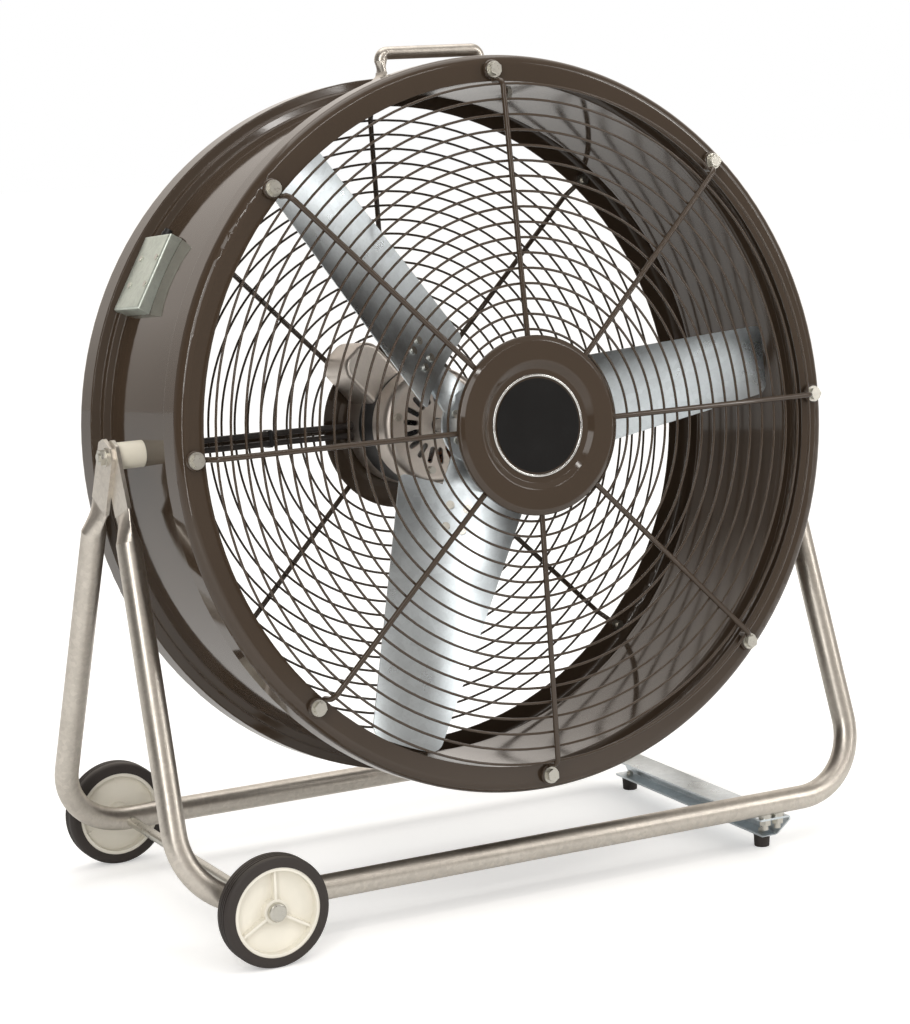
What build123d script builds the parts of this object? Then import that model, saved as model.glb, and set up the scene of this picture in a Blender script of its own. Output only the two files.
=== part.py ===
from build123d import *
import os
from math import atan2, cos, hypot, radians, sin, tan

# Drum fan on a wheeled tube stand. Millimetres, +Z up, origin on the floor under the middle.
# The fan's axis runs along Y with its outlet at -Y; the wheels are at -X and the feet at +X.
# Drum pieces use clock angles seen from the outlet (0 = top, 90 = +X), a radius from the fan's
# axis, and a station along the axis that grows towards the outlet.

# ---------------------------------------------------------------- pivot and drum
DRUM_R = 401.5
PIVOT_RISE = 142.2
PIVOT_Z = DRUM_R + PIVOT_RISE
AXIS_DROP = 6.3
TILT = 6.8
SHEET = 1.5
STEP_RISE = 9.5
STEP_R = DRUM_R + STEP_RISE
RIM_RISE = 11.3
RIM_R = STEP_R + RIM_RISE
MOUTH_DROP = 9.9
MOUTH_R = DRUM_R - MOUTH_DROP
FRONT_A = 158.0
REAR_A = -142.0
FRONT_RIM_DEPTH = 41.0
REAR_RIM_DEPTH = 42.0
STEP_FLAT = 6.0
STEP_SLOPE = 3.0
RIM_LAND = 6.0
RIM_ROLL_R = 12.0
STEP_ROLL_R = 2.0

# ---------------------------------------------------------------- guards
BOLT_RISE = 3.0
BOLT_CIRCLE_R = DRUM_R + BOLT_RISE
GUARD_ARMS = 8
RING_WIRE_R = 1.5
SPOKE_WIRE_R = 3.2
WELD = 0.4
EYE_R = 8.1
EYE_WIRE_R = 3.3
EYE_SINK = 0.2
WIRE_SEAM = 40.0
FRONT_RINGS = 17
FRONT_RING_R = 109.0
REAR_RINGS = 16
REAR_RING_R = 114.8
RING_EDGE = 14.74
RING_PITCH = (DRUM_R - RING_EDGE - FRONT_RING_R) / (FRONT_RINGS - 1)
FRONT_CROWN_A = 192.6
FRONT_SHOULDER_A = 183.5
FRONT_SPOKE_IN_R = 86.0
FRONT_FALL_IN = 13.3
FRONT_FALL_R = BOLT_CIRCLE_R - FRONT_FALL_IN
FRONT_BENDS = [10.0, 3.5]
REAR_CROWN_A = -158.3
REAR_SHOULDER_A = -153.2
REAR_FALL_IN = 13.0
REAR_FALL_R = BOLT_CIRCLE_R - REAR_FALL_IN
REAR_SHOULDER_IN = 13.5
REAR_SHOULDER_R = REAR_FALL_R - REAR_SHOULDER_IN
REAR_SPOKE_IN_R = 66.0
REAR_BENDS = [15.0, 6.0]
SEAT_GAP = 0.1

# ---------------------------------------------------------------- guard fasteners
GUARD_SHANK_R = 4.0
GUARD_HEAD_AF = 13.0
GUARD_HEAD_H = 5.5
GUARD_FLANGE_R = 9.5
GUARD_FLANGE_H = 1.5
GUARD_NUT_H = 7.0
GUARD_BOLT_PROUD = 3.0
HOLE_GAP = 0.3

# ---------------------------------------------------------------- front disc and plain badge
DISC_R = 102.2
DISC_RIM_H = 5.0
DISC_RING_OUT_R = 96.0
DISC_RING_IN_R = 73.0
DISC_RING_H = 9.0
DISC_WELL_R = 65.0
DISC_WELL_H = 3.6
LABEL_R = 53.4
LABEL_T = 1.2
BEAD_R = 57.0
BEAD_WIRE_R = 1.8

# ---------------------------------------------------------------- rear disc
REAR_DISC_R = 102.0
REAR_DISC_T = 2.0
REAR_DISC_FLAT_R = 80.0
REAR_DISC_RISE = 6.0

# ---------------------------------------------------------------- motor
MOTOR_R = 71.0
MOTOR_WALL = 3.0
REAR_BELL_L = 38.6
STATOR_L = 36.9
FRONT_BELL_L = 35.5
BELL_ROUND_R = 10.0
BELL_PLATE_T = 4.0
STATOR_IN_R = 42.3
AIR_GAP = 0.4
BEARING_R = 17.5
BEARING_W = 11.0
SEAT_WALL = 4.0
WINDING_IN_R = 44.5
WINDING_OUT_R = 50.0
WINDING_L = 16.0
SLOT_COUNT = 18
SLOT_IN_R = 27.0
SLOT_OUT_R = 47.0
SLOT_W = 6.4
THROUGH_R = 55.0
THROUGH_SHANK_R = 2.5
THROUGH_HEAD_R = 4.5
THROUGH_HEAD_H = 3.5
THROUGH_SHORT = 1.0
THROUGH_ANGLE = 15.0
MOUNT_CIRCLE_R = 36.0
MOUNT_SHANK_R = 3.0
MOUNT_HEAD_AF = 10.0
MOUNT_HEAD_H = 4.0

# ---------------------------------------------------------------- capacitor on the motor
CAP_ANGLE = 319.0
CAP_W = 54.0
CAP_TOP_R = 128.0
CAP_REAR_A = -144.0
CAP_FRONT_A = -82.0
CAP_WALL = 1.5
CAP_CORNER_R = 20.0
CAP_EDGE_R = 6.0
CAN_R = 20.0
CAN_L = 54.0

# ---------------------------------------------------------------- motor leads and ties
LEAD_R = 3.5
LEAD_LOW = -6.0
LEAD_HIGH = 6.0
LEAD_GLAND_R = 5.2
LEAD_GLAND_L = 5.0
LEAD_START_A = -134.0
LEAD_STRAIGHT_X = -98.0
LEAD_REST_X = -145.0
LEAD_REST_A = -147.3
LEAD_END_IN = 71.5
LEAD_END_X = LEAD_END_IN - DRUM_R
LEAD_END_A = -144.3
LEAD_WALL_IN = 23.5
LEAD_WALL_R = DRUM_R - LEAD_WALL_IN
LEAD_WALL_ANGLE = 279.0
LEAD_WALL_A = -112.0
LEAD_TURN_IN = 21.5
LEAD_TURN_R = DRUM_R - LEAD_TURN_IN
LEAD_TURN_ANGLE = 295.5
LEAD_TURN_A = -66.0
LEAD_EXIT_ANGLE = 298.0
LEAD_EXIT_A = -58.0
LEAD_EXIT_OUT = 5.5
LEAD_EXIT_R = DRUM_R + LEAD_EXIT_OUT
LEAD_HOLE_R = 5.5
LEAD_BEND_SHARE = 0.45
TIE_RING = 3.5
TIE_W = 4.5
TIE_T = 1.2
TIE_GAP = 0.2

# ---------------------------------------------------------------- junction box on the drum
BOX_ANGLE = 300.5
BOX_W = 95.0
BOX_FRONT_A = -21.6
BOX_REAR_A = -96.0
BOX_RISE = 13.5
BOX_TOP_R = DRUM_R + BOX_RISE
BOX_BEND_R = 3.0
BOX_DEPTH = 24.0
POST_R = 4.0
POST_SIDE = 17.0
POST_INSET = 8.0
BOX_SCREW_R = 2.0
BOX_SCREW_HEAD_R = 3.6
BOX_SCREW_HEAD_H = 1.6
GLAND_A = -50.0
GLAND_R = 5.0
GLAND_BORE_R = 3.4
GLAND_COLLAR_R = 6.2
GLAND_OUT = 9.0
GLAND_IN = 4.0
GLAND_LIFT = 7.2

# ---------------------------------------------------------------- carrying handle
HANDLE_A = 14.0
GRIP_RISE = 39.7
GRIP_V = DRUM_R + GRIP_RISE
GRIP_R = 7.5
GRIP_HALF = 56.0
GRIP_BEND_R = 9.0
STRAP_W = 21.0
STRAP_T = 4.5
STRAP_TOP_DROP = 22.0
STRAP_KNEE_DROP = 27.0
STRAP_KNEE_X = 66.0
STRAP_FOOT_ANGLE = 14.7
STRAP_FOOT_IN = 13.0
STRAP_FOOT_OUT = 16.0
STRAP_BEND_R = 14.0
STRAP_HEEL_R = 8.0
HANDLE_SHANK_R = 3.0
HANDLE_HEAD_AF = 10.0
HANDLE_HEAD_H = 4.0
HANDLE_NUT_H = 5.0
HANDLE_BOLT_OUT = 3.0

# ---------------------------------------------------------------- trunnions
TRUNNION_SPACER_R = 15.3
TRUNNION_SPACER_OUT = 34.5
TRUNNION_SPACER_X = DRUM_R + TRUNNION_SPACER_OUT
TRUNNION_SHANK_R = 5.0
TRUNNION_HEAD_AF = 16.0
TRUNNION_HEAD_H = 6.4
TRUNNION_WASHER_R = 10.5
TRUNNION_WASHER_T = 2.0
TRUNNION_NUT_H = 6.0
TRUNNION_PROUD = 2.0
TRUNNION_GAP = 0.1
INNER_WASHER_T = 2.0

# ---------------------------------------------------------------- propeller
BLADE_ANGLES = (322.0, 82.0, 202.0)
BLADE_T = 1.6
BLADE_TIP_GAP = 15.5
BLADE_TIP_R = DRUM_R - BLADE_TIP_GAP
BLADE_ROOT_RHO = 78.0
BLADE_TIP_TRIM = 6.0
BLADE_TIP_RHO = BLADE_TIP_R + BLADE_TIP_TRIM
ROOT_LEAD = (68.2, 28.0)
ROOT_TRAIL = (-57.6, 112.0)
TIP_LEAD = (48.6, 95.4)
TIP_TRAIL = (-33.0, 106.9)
ROOT_CAMBER = 12.0
TIP_CAMBER = 6.0
BLADE_CORNER_R = 14.0
BLADE_ROOT_CORNER_R = 8.0
BLADE_TRIM = 0.08
ARM_T = 4.0
ARM_GAP = 0.1
ARM_FROM = 0.34
ARM_TO = 0.66
ARM_OUT_RHO = 136.0
ARM_IN_RHO = 76.0
SPIDER_A = 52.0
SPIDER_R = 46.0
NECK_RHO = 38.0
NECK_HALF = 21.0
NECK_SINK = 0.3
HUB_R = 22.0
HUB_REAR_A = 34.0
HUB_FRONT_A = 74.0
HUB_FLANGE_R = 40.0
HUB_FLANGE_T = 6.0
HUB_RIVETS = 6
HUB_RIVET_CIRCLE_R = 31.0
RIVET_R = 2.4
RIVET_HEAD_R = 5.0
RIVET_HEAD_H = 2.0
RIVET_LIFT = 0.15
RIVET_TAIL_R = 3.6
RIVET_RHOS = (100.0, 126.0)
RIVET_STEPS = (0.43, 0.57)
RIVET_PROBE = 0.01
SET_SCREW_R = 3.0
SET_SCREW_ANGLE = 22.0
SHAFT_R = 7.94
SHAFT_REAR_A = -148.5
SHAFT_FRONT_A = 78.0
RUNNING_GAP = 0.05
SHAFT_HOLE_GAP = 1.0

# ---------------------------------------------------------------- stand tubes
TUBE_R = 14.3
TUBE_WALL = 1.5
RUN_Y = 190.9
RUN_Z = 65.4
CORNER_R = 85.0
LEG_TOP_DROP = 92.0
LEG_TOP_Y = 47.3
FRONT_LEG_OUT = 5.0
FRONT_LEG_TOP_X = TRUNNION_SPACER_X + FRONT_LEG_OUT
REAR_LEG_OUT = 4.0
REAR_LEG_TOP_X = FRONT_LEG_TOP_X + REAR_LEG_OUT
CORNER_OUT = 11.0
CORNER_X = FRONT_LEG_TOP_X + CORNER_OUT
FLAT_T = 4.5
FLAT_HALF = 21.0
FLAT_DROP = 60.0
FLAT_OFFSET = 3.0
FLAT_LEAN = 23.0
FLAT_TIP = 17.0
FLAT_SHOULDER = 7.0
FLAT_TIP_HALF = 11.0
FLAT_CORNER_R = 4.0
ARC_QUARTER = 20.0

# ---------------------------------------------------------------- foot bar
BAR_X = 300.0
BAR_W = 43.3
BAR_HALF_Y = 198.3
BAR_TOP_Z = 48.3
BAR_T = 2.5
BAR_LIP_W = 22.0
BAR_BEND_R = 3.5
MITRE_Y = 167.0
MITRE_TOP_Z = 43.0
STUD_R = 4.0
STUD_XS = (311.0, 329.0)
STUD_OUT = 13.0
STUD_NUT_AF = 13.0
STUD_NUT_H = 6.5
SADDLE_R = 8.0
FOOT_X = 332.0
FOOT_Y = 153.0
FOOT_R = 10.25
FOOT_TAPER = 1.0
FOOT_H = 15.9
FOOT_EDGE_R = 1.0
FOOT_WELL_R = 5.2
FOOT_WELL_H = 7.0
FOOT_SCREW_R = 2.5
FOOT_HEAD_R = 4.6
FOOT_HEAD_H = 3.5
FOOT_NUT_AF = 8.0
FOOT_NUT_H = 4.0
FOOT_SCREW_PROUD = 2.0

# ---------------------------------------------------------------- axle and wheels
AXLE_X = -364.4
AXLE_R = 6.35
WHEEL_R = 63.5
WHEEL_HUB_R = 51.0
WHEEL_IN_Y = 216.0
WHEEL_W = 25.0
WHEEL_RIM_T = 4.0
WHEEL_RIM_INSET = 1.2
WHEEL_WEB_T = 3.0
WHEEL_WEB_INSET = 9.0
WHEEL_WEB_DISH = 3.0
WHEEL_BOSS_R = 14.0
WHEEL_BOSS_INSET = 5.0
WHEEL_RIBS = 3
WHEEL_RIB_T = 3.0
WHEEL_RIB_INSET = 5.0
TYRE_ROUND_R = 6.0
GROOVE_DEPTH = 1.2
GROOVE_W = 1.6
GROOVE_INSETS = (5.5, 9.5, 13.5)
AXLE_WASHER_R = 12.0
AXLE_WASHER_T = 1.5
WHEEL_END_GAP = 0.2
AXLE_GAP = 0.08
PUSH_NUT_R = 11.0
PUSH_NUT_END_Y = 242.4

# ---------------------------------------------------------------- frames of reference
DRUM = Plane(
    origin=(0, 0, PIVOT_Z - AXIS_DROP),
    x_dir=(1, 0, 0),
    z_dir=(0, -cos(radians(TILT)), sin(radians(TILT))),
)
DRUM_AXIS = Axis(DRUM.origin, DRUM.z_dir)
LOW = (Align.CENTER, Align.CENTER, Align.MIN)


def outward(angle):
    """Unit vector that leaves the fan's axis at a clock angle."""
    return DRUM.x_dir * sin(radians(angle)) + DRUM.y_dir * cos(radians(angle))


def clockwise(angle):
    """Unit vector along the rim at a clock angle, towards larger angles."""
    return DRUM.x_dir * cos(radians(angle)) - DRUM.y_dir * sin(radians(angle))


def drum_point(angle, radius, station):
    """Point of the drum from its clock angle, radius and station."""
    return DRUM.origin + outward(angle) * radius + DRUM.z_dir * station


def section(angle):
    """Plane through the fan's axis: x outwards, y towards the outlet."""
    return Plane(
        origin=DRUM.origin,
        x_dir=outward(angle),
        z_dir=outward(angle).cross(DRUM.z_dir),
    )


def across(angle, radius, station, forward=1):
    """Plane square to the fan's axis at a point of the drum, facing the outlet or the inlet."""
    return Plane(
        origin=drum_point(angle, radius, station),
        x_dir=outward(angle),
        z_dir=DRUM.z_dir * forward,
    )


def facing_out(angle, radius, station):
    """Plane that faces away from the axis: y towards the outlet."""
    return Plane(
        origin=drum_point(angle, radius, station),
        x_dir=clockwise(angle) * -1,
        z_dir=outward(angle),
    )


def put_cylinder(seat, radius, height):
    """Add a cylinder that stands on a seat plane."""
    with Locations(seat):
        Cylinder(radius, height, align=LOW)


def put_hexagon(seat, across_flats, height, turn=0):
    """Add a hexagonal prism that stands on a seat plane."""
    with BuildSketch(seat) as outline:
        RegularPolygon(across_flats / 2, 6, major_radius=False, rotation=turn)
    extrude(outline.sketch, amount=height)


def cut_cylinder(seat, radius, height):
    """Drill a round hole upwards from a seat plane."""
    with Locations(seat):
        Cylinder(radius, height, align=LOW, mode=Mode.SUBTRACT)


def arm_angles():
    """Clock angles of the guard's arms."""
    return [360 / GUARD_ARMS * number for number in range(GUARD_ARMS)]


os.makedirs("parts", exist_ok=True)

# ================================================================ drum shell and its two rims
front_rim_a = FRONT_A - FRONT_RIM_DEPTH
rear_rim_a = REAR_A + REAR_RIM_DEPTH
front_wall_a = front_rim_a - STEP_FLAT - 2 * STEP_SLOPE
rear_wall_a = rear_rim_a + STEP_FLAT + 2 * STEP_SLOPE
DRUM_LINE = [
    (MOUTH_R, REAR_A),
    (RIM_R, REAR_A),
    (RIM_R, rear_rim_a),
    (STEP_R, rear_rim_a + STEP_SLOPE),
    (STEP_R, rear_rim_a + STEP_SLOPE + STEP_FLAT),
    (DRUM_R, rear_wall_a),
    (DRUM_R, front_wall_a),
    (STEP_R, front_wall_a + STEP_SLOPE),
    (STEP_R, front_rim_a - STEP_SLOPE),
    (RIM_R, front_rim_a),
    (RIM_R, FRONT_A),
    (MOUTH_R, FRONT_A),
]
roll_radii = [RIM_ROLL_R] + [STEP_ROLL_R] * 8 + [RIM_ROLL_R]
drum_bore_r = DRUM_R - SHEET
trunnion_left = Plane(origin=(0, 0, PIVOT_Z), x_dir=(0, 1, 0), z_dir=(-1, 0, 0))
trunnion_right = Plane(origin=(0, 0, PIVOT_Z), x_dir=(0, 1, 0), z_dir=(1, 0, 0))
strap_foot_angles = (-STRAP_FOOT_ANGLE, STRAP_FOOT_ANGLE)
wall_share = (DRUM_R - SHEET / 2 - LEAD_TURN_R) / (LEAD_EXIT_R - LEAD_TURN_R)
lead_hole_angle = LEAD_TURN_ANGLE + wall_share * (LEAD_EXIT_ANGLE - LEAD_TURN_ANGLE)
lead_hole_a = LEAD_TURN_A + wall_share * (LEAD_EXIT_A - LEAD_TURN_A)
post_places = [
    (side * POST_SIDE, station)
    for side in (-1, 1)
    for station in (BOX_FRONT_A - POST_INSET, BOX_REAR_A + POST_INSET + STEP_FLAT + 2 * STEP_SLOPE)
]

with BuildPart() as whole_drum:
    with BuildSketch(section(90)) as wall:
        with BuildLine():
            skin = FilletPolyline(*DRUM_LINE, radius=roll_radii)
            offset(skin, amount=SHEET, side=Side.LEFT, mode=Mode.ADD)
        make_face()
    revolve(axis=DRUM_AXIS)
    for angle in arm_angles():
        cut_cylinder(across(angle, BOLT_CIRCLE_R, FRONT_A - 2 * SHEET), GUARD_SHANK_R + HOLE_GAP, 3 * SHEET)
        cut_cylinder(across(angle, BOLT_CIRCLE_R, REAR_A - SHEET), GUARD_SHANK_R + HOLE_GAP, 3 * SHEET)
    for seat in (trunnion_left, trunnion_right):
        cut_cylinder(seat.offset(drum_bore_r - RIM_ROLL_R), TRUNNION_SHANK_R + HOLE_GAP, 2 * RIM_ROLL_R)
    for angle in strap_foot_angles:
        cut_cylinder(facing_out(angle, drum_bore_r - SHEET, HANDLE_A), HANDLE_SHANK_R + HOLE_GAP, 4 * SHEET)
    for shift in (LEAD_LOW, LEAD_HIGH):
        lead_seat = facing_out(lead_hole_angle, drum_bore_r - SHEET, lead_hole_a + shift)
        cut_cylinder(lead_seat, LEAD_HOLE_R, 4 * SHEET)
front_joint = DRUM.offset(front_wall_a - RIM_LAND)
rear_joint = DRUM.offset(rear_wall_a + RIM_LAND)

with BuildPart() as front_rim:
    add(whole_drum.part)
    split(bisect_by=front_joint, keep=Keep.TOP)
front_rim.part.label = "front_rim"
export_step(front_rim.part, "parts/front_rim.step")

with BuildPart() as rear_rim:
    add(whole_drum.part)
    split(bisect_by=rear_joint, keep=Keep.BOTTOM)
rear_rim.part.label = "rear_rim"
export_step(rear_rim.part, "parts/rear_rim.step")

with BuildPart() as drum_shell:
    add(whole_drum.part)
    split(bisect_by=front_joint, keep=Keep.BOTTOM)
    split(bisect_by=rear_joint, keep=Keep.TOP)
drum_shell.part.label = "drum_shell"
export_step(drum_shell.part, "parts/drum_shell.step")

# ================================================================ front guard
front_slope = (FRONT_CROWN_A - FRONT_SHOULDER_A) / (FRONT_FALL_R - DISC_R)
front_eye_a = FRONT_A + EYE_WIRE_R
rear_eye_a = REAR_A - EYE_WIRE_R
spoke_end_r = BOLT_CIRCLE_R - EYE_R - EYE_SINK
between_arms = 180 / GUARD_ARMS
ring_drop = SPOKE_WIRE_R + RING_WIRE_R - WELD


def front_spoke_a(radius):
    """Station of the front spokes' centre line at a radius."""
    return FRONT_CROWN_A - (radius - DISC_R) * front_slope


def rear_spoke_a(radius):
    """Station of the rear spokes' centre line at a radius."""
    share = (radius - REAR_SPOKE_IN_R) / (REAR_SHOULDER_R - REAR_SPOKE_IN_R)
    return REAR_CROWN_A + share * (REAR_SHOULDER_A - REAR_CROWN_A)


def add_rings(count, first_radius, station_at):
    """Add the concentric rings of a guard."""
    with BuildSketch(section(between_arms)) as wires:
        for number in range(count):
            radius = first_radius + RING_PITCH * number
            with Locations((radius, station_at(radius))):
                Circle(RING_WIRE_R)
    revolve(wires.sketch, axis=DRUM_AXIS)


def guard_arm(points, bends, eye_a):
    """Radial wire of a guard at the top of the drum, ending in an eye round its bolt."""
    side_way = section(0).z_dir
    with BuildPart() as arm:
        with BuildLine(section(0)) as route:
            FilletPolyline(*points, radius=bends)
        way = route.line % 0
        seam = side_way * cos(radians(WIRE_SEAM)) + way.cross(side_way) * sin(radians(WIRE_SEAM))
        with BuildSketch(Plane(route.line @ 0, x_dir=seam, z_dir=way)) as wire:
            Circle(SPOKE_WIRE_R)
        sweep(wire.sketch, path=route.line)
        with Locations(across(0, BOLT_CIRCLE_R, eye_a)):
            Torus(EYE_R, EYE_WIRE_R)
    return arm.part


front_route = [
    (FRONT_SPOKE_IN_R, front_spoke_a(FRONT_SPOKE_IN_R)),
    (FRONT_FALL_R, front_spoke_a(FRONT_FALL_R)),
    (FRONT_FALL_R, front_eye_a),
    (spoke_end_r, front_eye_a),
]
front_arm = guard_arm(front_route, FRONT_BENDS, front_eye_a)
with BuildPart() as front_guard:
    add_rings(FRONT_RINGS, FRONT_RING_R, lambda radius: front_spoke_a(radius) - ring_drop)
    add([front_arm.rotate(DRUM_AXIS, angle) for angle in arm_angles()])
front_guard.part.label = "front_guard"
export_step(front_guard.part, "parts/front_guard.step")

# ================================================================ rear guard
rear_route = [
    (REAR_SPOKE_IN_R, REAR_CROWN_A),
    (REAR_SHOULDER_R, REAR_SHOULDER_A),
    (REAR_FALL_R, rear_eye_a),
    (spoke_end_r, rear_eye_a),
]
rear_arm = guard_arm(rear_route, REAR_BENDS, rear_eye_a)
with BuildPart() as rear_guard:
    add_rings(REAR_RINGS, REAR_RING_R, lambda radius: rear_spoke_a(radius) + ring_drop)
    add([rear_arm.rotate(DRUM_AXIS, angle) for angle in arm_angles()])
rear_guard.part.label = "rear_guard"
export_step(rear_guard.part, "parts/rear_guard.step")

# ================================================================ guard bolts and nuts
front_head_a = FRONT_A + 2 * EYE_WIRE_R
rear_head_a = REAR_A - 2 * EYE_WIRE_R
guard_seats = []
guard_nut_seats = []
for angle in arm_angles():
    guard_seats.append(across(angle, BOLT_CIRCLE_R, front_head_a))
    guard_seats.append(across(angle, BOLT_CIRCLE_R, rear_head_a, -1))
    guard_nut_seats.append(across(angle, BOLT_CIRCLE_R, FRONT_A - SHEET - SEAT_GAP, -1))
    guard_nut_seats.append(across(angle, BOLT_CIRCLE_R, REAR_A + SHEET + SEAT_GAP))
guard_shank_l = 2 * EYE_WIRE_R + SHEET + GUARD_NUT_H + GUARD_BOLT_PROUD

with BuildPart() as guard_bolts:
    for seat in guard_seats:
        put_cylinder(seat.offset(-guard_shank_l), GUARD_SHANK_R, guard_shank_l + GUARD_FLANGE_H)
        put_cylinder(seat, GUARD_FLANGE_R, GUARD_FLANGE_H)
        put_hexagon(seat.offset(GUARD_FLANGE_H), GUARD_HEAD_AF, GUARD_HEAD_H)
guard_bolts.part.label = "guard_bolts"
export_step(guard_bolts.part, "parts/guard_bolts.step")

with BuildPart() as guard_nuts:
    for seat in guard_nut_seats:
        put_hexagon(seat, GUARD_HEAD_AF, GUARD_NUT_H, turn=30)
        cut_cylinder(seat, GUARD_SHANK_R, GUARD_NUT_H)
guard_nuts.part.label = "guard_nuts"
export_step(guard_nuts.part, "parts/guard_nuts.step")

# ================================================================ front disc with its plain badge
disc_seat_a = FRONT_CROWN_A + SPOKE_WIRE_R + SEAT_GAP
disc_line = [
    (DISC_R, disc_seat_a),
    (DISC_R, disc_seat_a + DISC_RIM_H),
    (DISC_RING_OUT_R, disc_seat_a + DISC_RING_H),
    (DISC_RING_IN_R, disc_seat_a + DISC_RING_H),
    (DISC_WELL_R, disc_seat_a + DISC_WELL_H),
    (0, disc_seat_a + DISC_WELL_H),
]
disc_bends = [2.0 * SHEET, 2.0 * SHEET, 4.0 * SHEET, 2.0 * SHEET]
with BuildPart() as front_disc:
    with BuildSketch(section(90)) as plate:
        with BuildLine():
            face_line = FilletPolyline(*disc_line, radius=disc_bends)
            offset(face_line, amount=SHEET, side=Side.LEFT, mode=Mode.ADD)
        make_face()
    revolve(axis=DRUM_AXIS)
front_disc.part.label = "front_disc"
export_step(front_disc.part, "parts/front_disc.step")

well_a = disc_seat_a + DISC_WELL_H
with BuildPart() as hub_label:
    put_cylinder(DRUM.offset(well_a), LABEL_R, LABEL_T)
hub_label.part.label = "hub_label"
export_step(hub_label.part, "parts/hub_label.step")

with BuildPart() as label_ring:
    with BuildSketch(section(90)) as bead:
        with Locations((BEAD_R, well_a)):
            Circle(BEAD_WIRE_R)
        with Locations((BEAD_R, well_a)):
            Rectangle(4 * BEAD_WIRE_R, 2 * BEAD_WIRE_R, align=(Align.CENTER, Align.MAX), mode=Mode.SUBTRACT)
    revolve(axis=DRUM_AXIS)
label_ring.part.label = "label_ring"
export_step(label_ring.part, "parts/label_ring.step")

# ================================================================ rear disc that carries the motor
motor_rear_a = rear_spoke_a(REAR_DISC_FLAT_R) + SPOKE_WIRE_R + SEAT_GAP + REAR_DISC_T
mount_angles = (45, 135, 225, 315)
rear_disc_line = [
    (0, motor_rear_a - REAR_DISC_T),
    (REAR_DISC_FLAT_R, motor_rear_a - REAR_DISC_T),
    (REAR_DISC_R, motor_rear_a - REAR_DISC_T + REAR_DISC_RISE),
]
with BuildPart() as rear_disc:
    with BuildSketch(section(90)) as plate:
        with BuildLine():
            back_line = FilletPolyline(*rear_disc_line, radius=BELL_ROUND_R)
            offset(back_line, amount=REAR_DISC_T, side=Side.LEFT, mode=Mode.ADD)
        make_face()
    revolve(axis=DRUM_AXIS)
    for angle in mount_angles:
        seat = across(angle, MOUNT_CIRCLE_R, motor_rear_a - 2 * REAR_DISC_T)
        cut_cylinder(seat, MOUNT_SHANK_R + HOLE_GAP, 3 * REAR_DISC_T)
rear_disc.part.label = "rear_disc"
export_step(rear_disc.part, "parts/rear_disc.step")

# ================================================================ motor housing
stator_rear_a = motor_rear_a + REAR_BELL_L
stator_front_a = stator_rear_a + STATOR_L
motor_front_a = stator_front_a + FRONT_BELL_L
motor_in_r = MOTOR_R - MOTOR_WALL
through_angles = [THROUGH_ANGLE + 90 * number for number in range(4)]

with BuildPart() as motor_rear_bell:
    with BuildSketch(section(90)) as cup:
        with Locations((0, motor_rear_a)):
            Rectangle(MOTOR_R, REAR_BELL_L, align=(Align.MIN, Align.MIN))
        outer_corner = cup.vertices().sort_by(Axis((0, 0, 0), (1, -1, 0)))[-1]
        fillet(outer_corner, BELL_ROUND_R)
        with Locations((BEARING_R + SEAT_WALL, motor_rear_a + BELL_PLATE_T)):
            hollow_w = motor_in_r - BEARING_R - SEAT_WALL
            Rectangle(hollow_w, REAR_BELL_L, align=(Align.MIN, Align.MIN), mode=Mode.SUBTRACT)
        with Locations((0, motor_rear_a + BELL_PLATE_T)):
            Rectangle(BEARING_R, REAR_BELL_L, align=(Align.MIN, Align.MIN), mode=Mode.SUBTRACT)
        with Locations((BEARING_R, motor_rear_a + BELL_PLATE_T + BEARING_W)):
            Rectangle(SEAT_WALL, REAR_BELL_L, align=(Align.MIN, Align.MIN), mode=Mode.SUBTRACT)
    revolve(axis=DRUM_AXIS)
    for angle in mount_angles:
        seat = across(angle, MOUNT_CIRCLE_R, motor_rear_a - REAR_DISC_T)
        cut_cylinder(seat, MOUNT_SHANK_R, REAR_DISC_T + BELL_PLATE_T + REAR_DISC_T)
    for angle in through_angles:
        seat = across(angle, THROUGH_R, motor_rear_a - REAR_DISC_T)
        cut_cylinder(seat, THROUGH_SHANK_R, REAR_DISC_T + BELL_PLATE_T + REAR_DISC_T)
motor_rear_bell.part.label = "motor_rear_bell"
export_step(motor_rear_bell.part, "parts/motor_rear_bell.step")

with BuildPart() as motor_stator:
    put_cylinder(DRUM.offset(stator_rear_a), MOTOR_R, STATOR_L)
    cut_cylinder(DRUM.offset(stator_rear_a), STATOR_IN_R, STATOR_L)
    for angle in through_angles:
        cut_cylinder(across(angle, THROUGH_R, stator_rear_a), THROUGH_SHANK_R + HOLE_GAP, STATOR_L)
motor_stator.part.label = "motor_stator"
export_step(motor_stator.part, "parts/motor_stator.step")

with BuildPart() as motor_windings:
    for winding_a in (stator_rear_a - WINDING_L, stator_front_a):
        put_cylinder(DRUM.offset(winding_a), WINDING_OUT_R, WINDING_L)
        cut_cylinder(DRUM.offset(winding_a), WINDING_IN_R, WINDING_L)
motor_windings.part.label = "motor_windings"
export_step(motor_windings.part, "parts/motor_windings.step")

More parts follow.
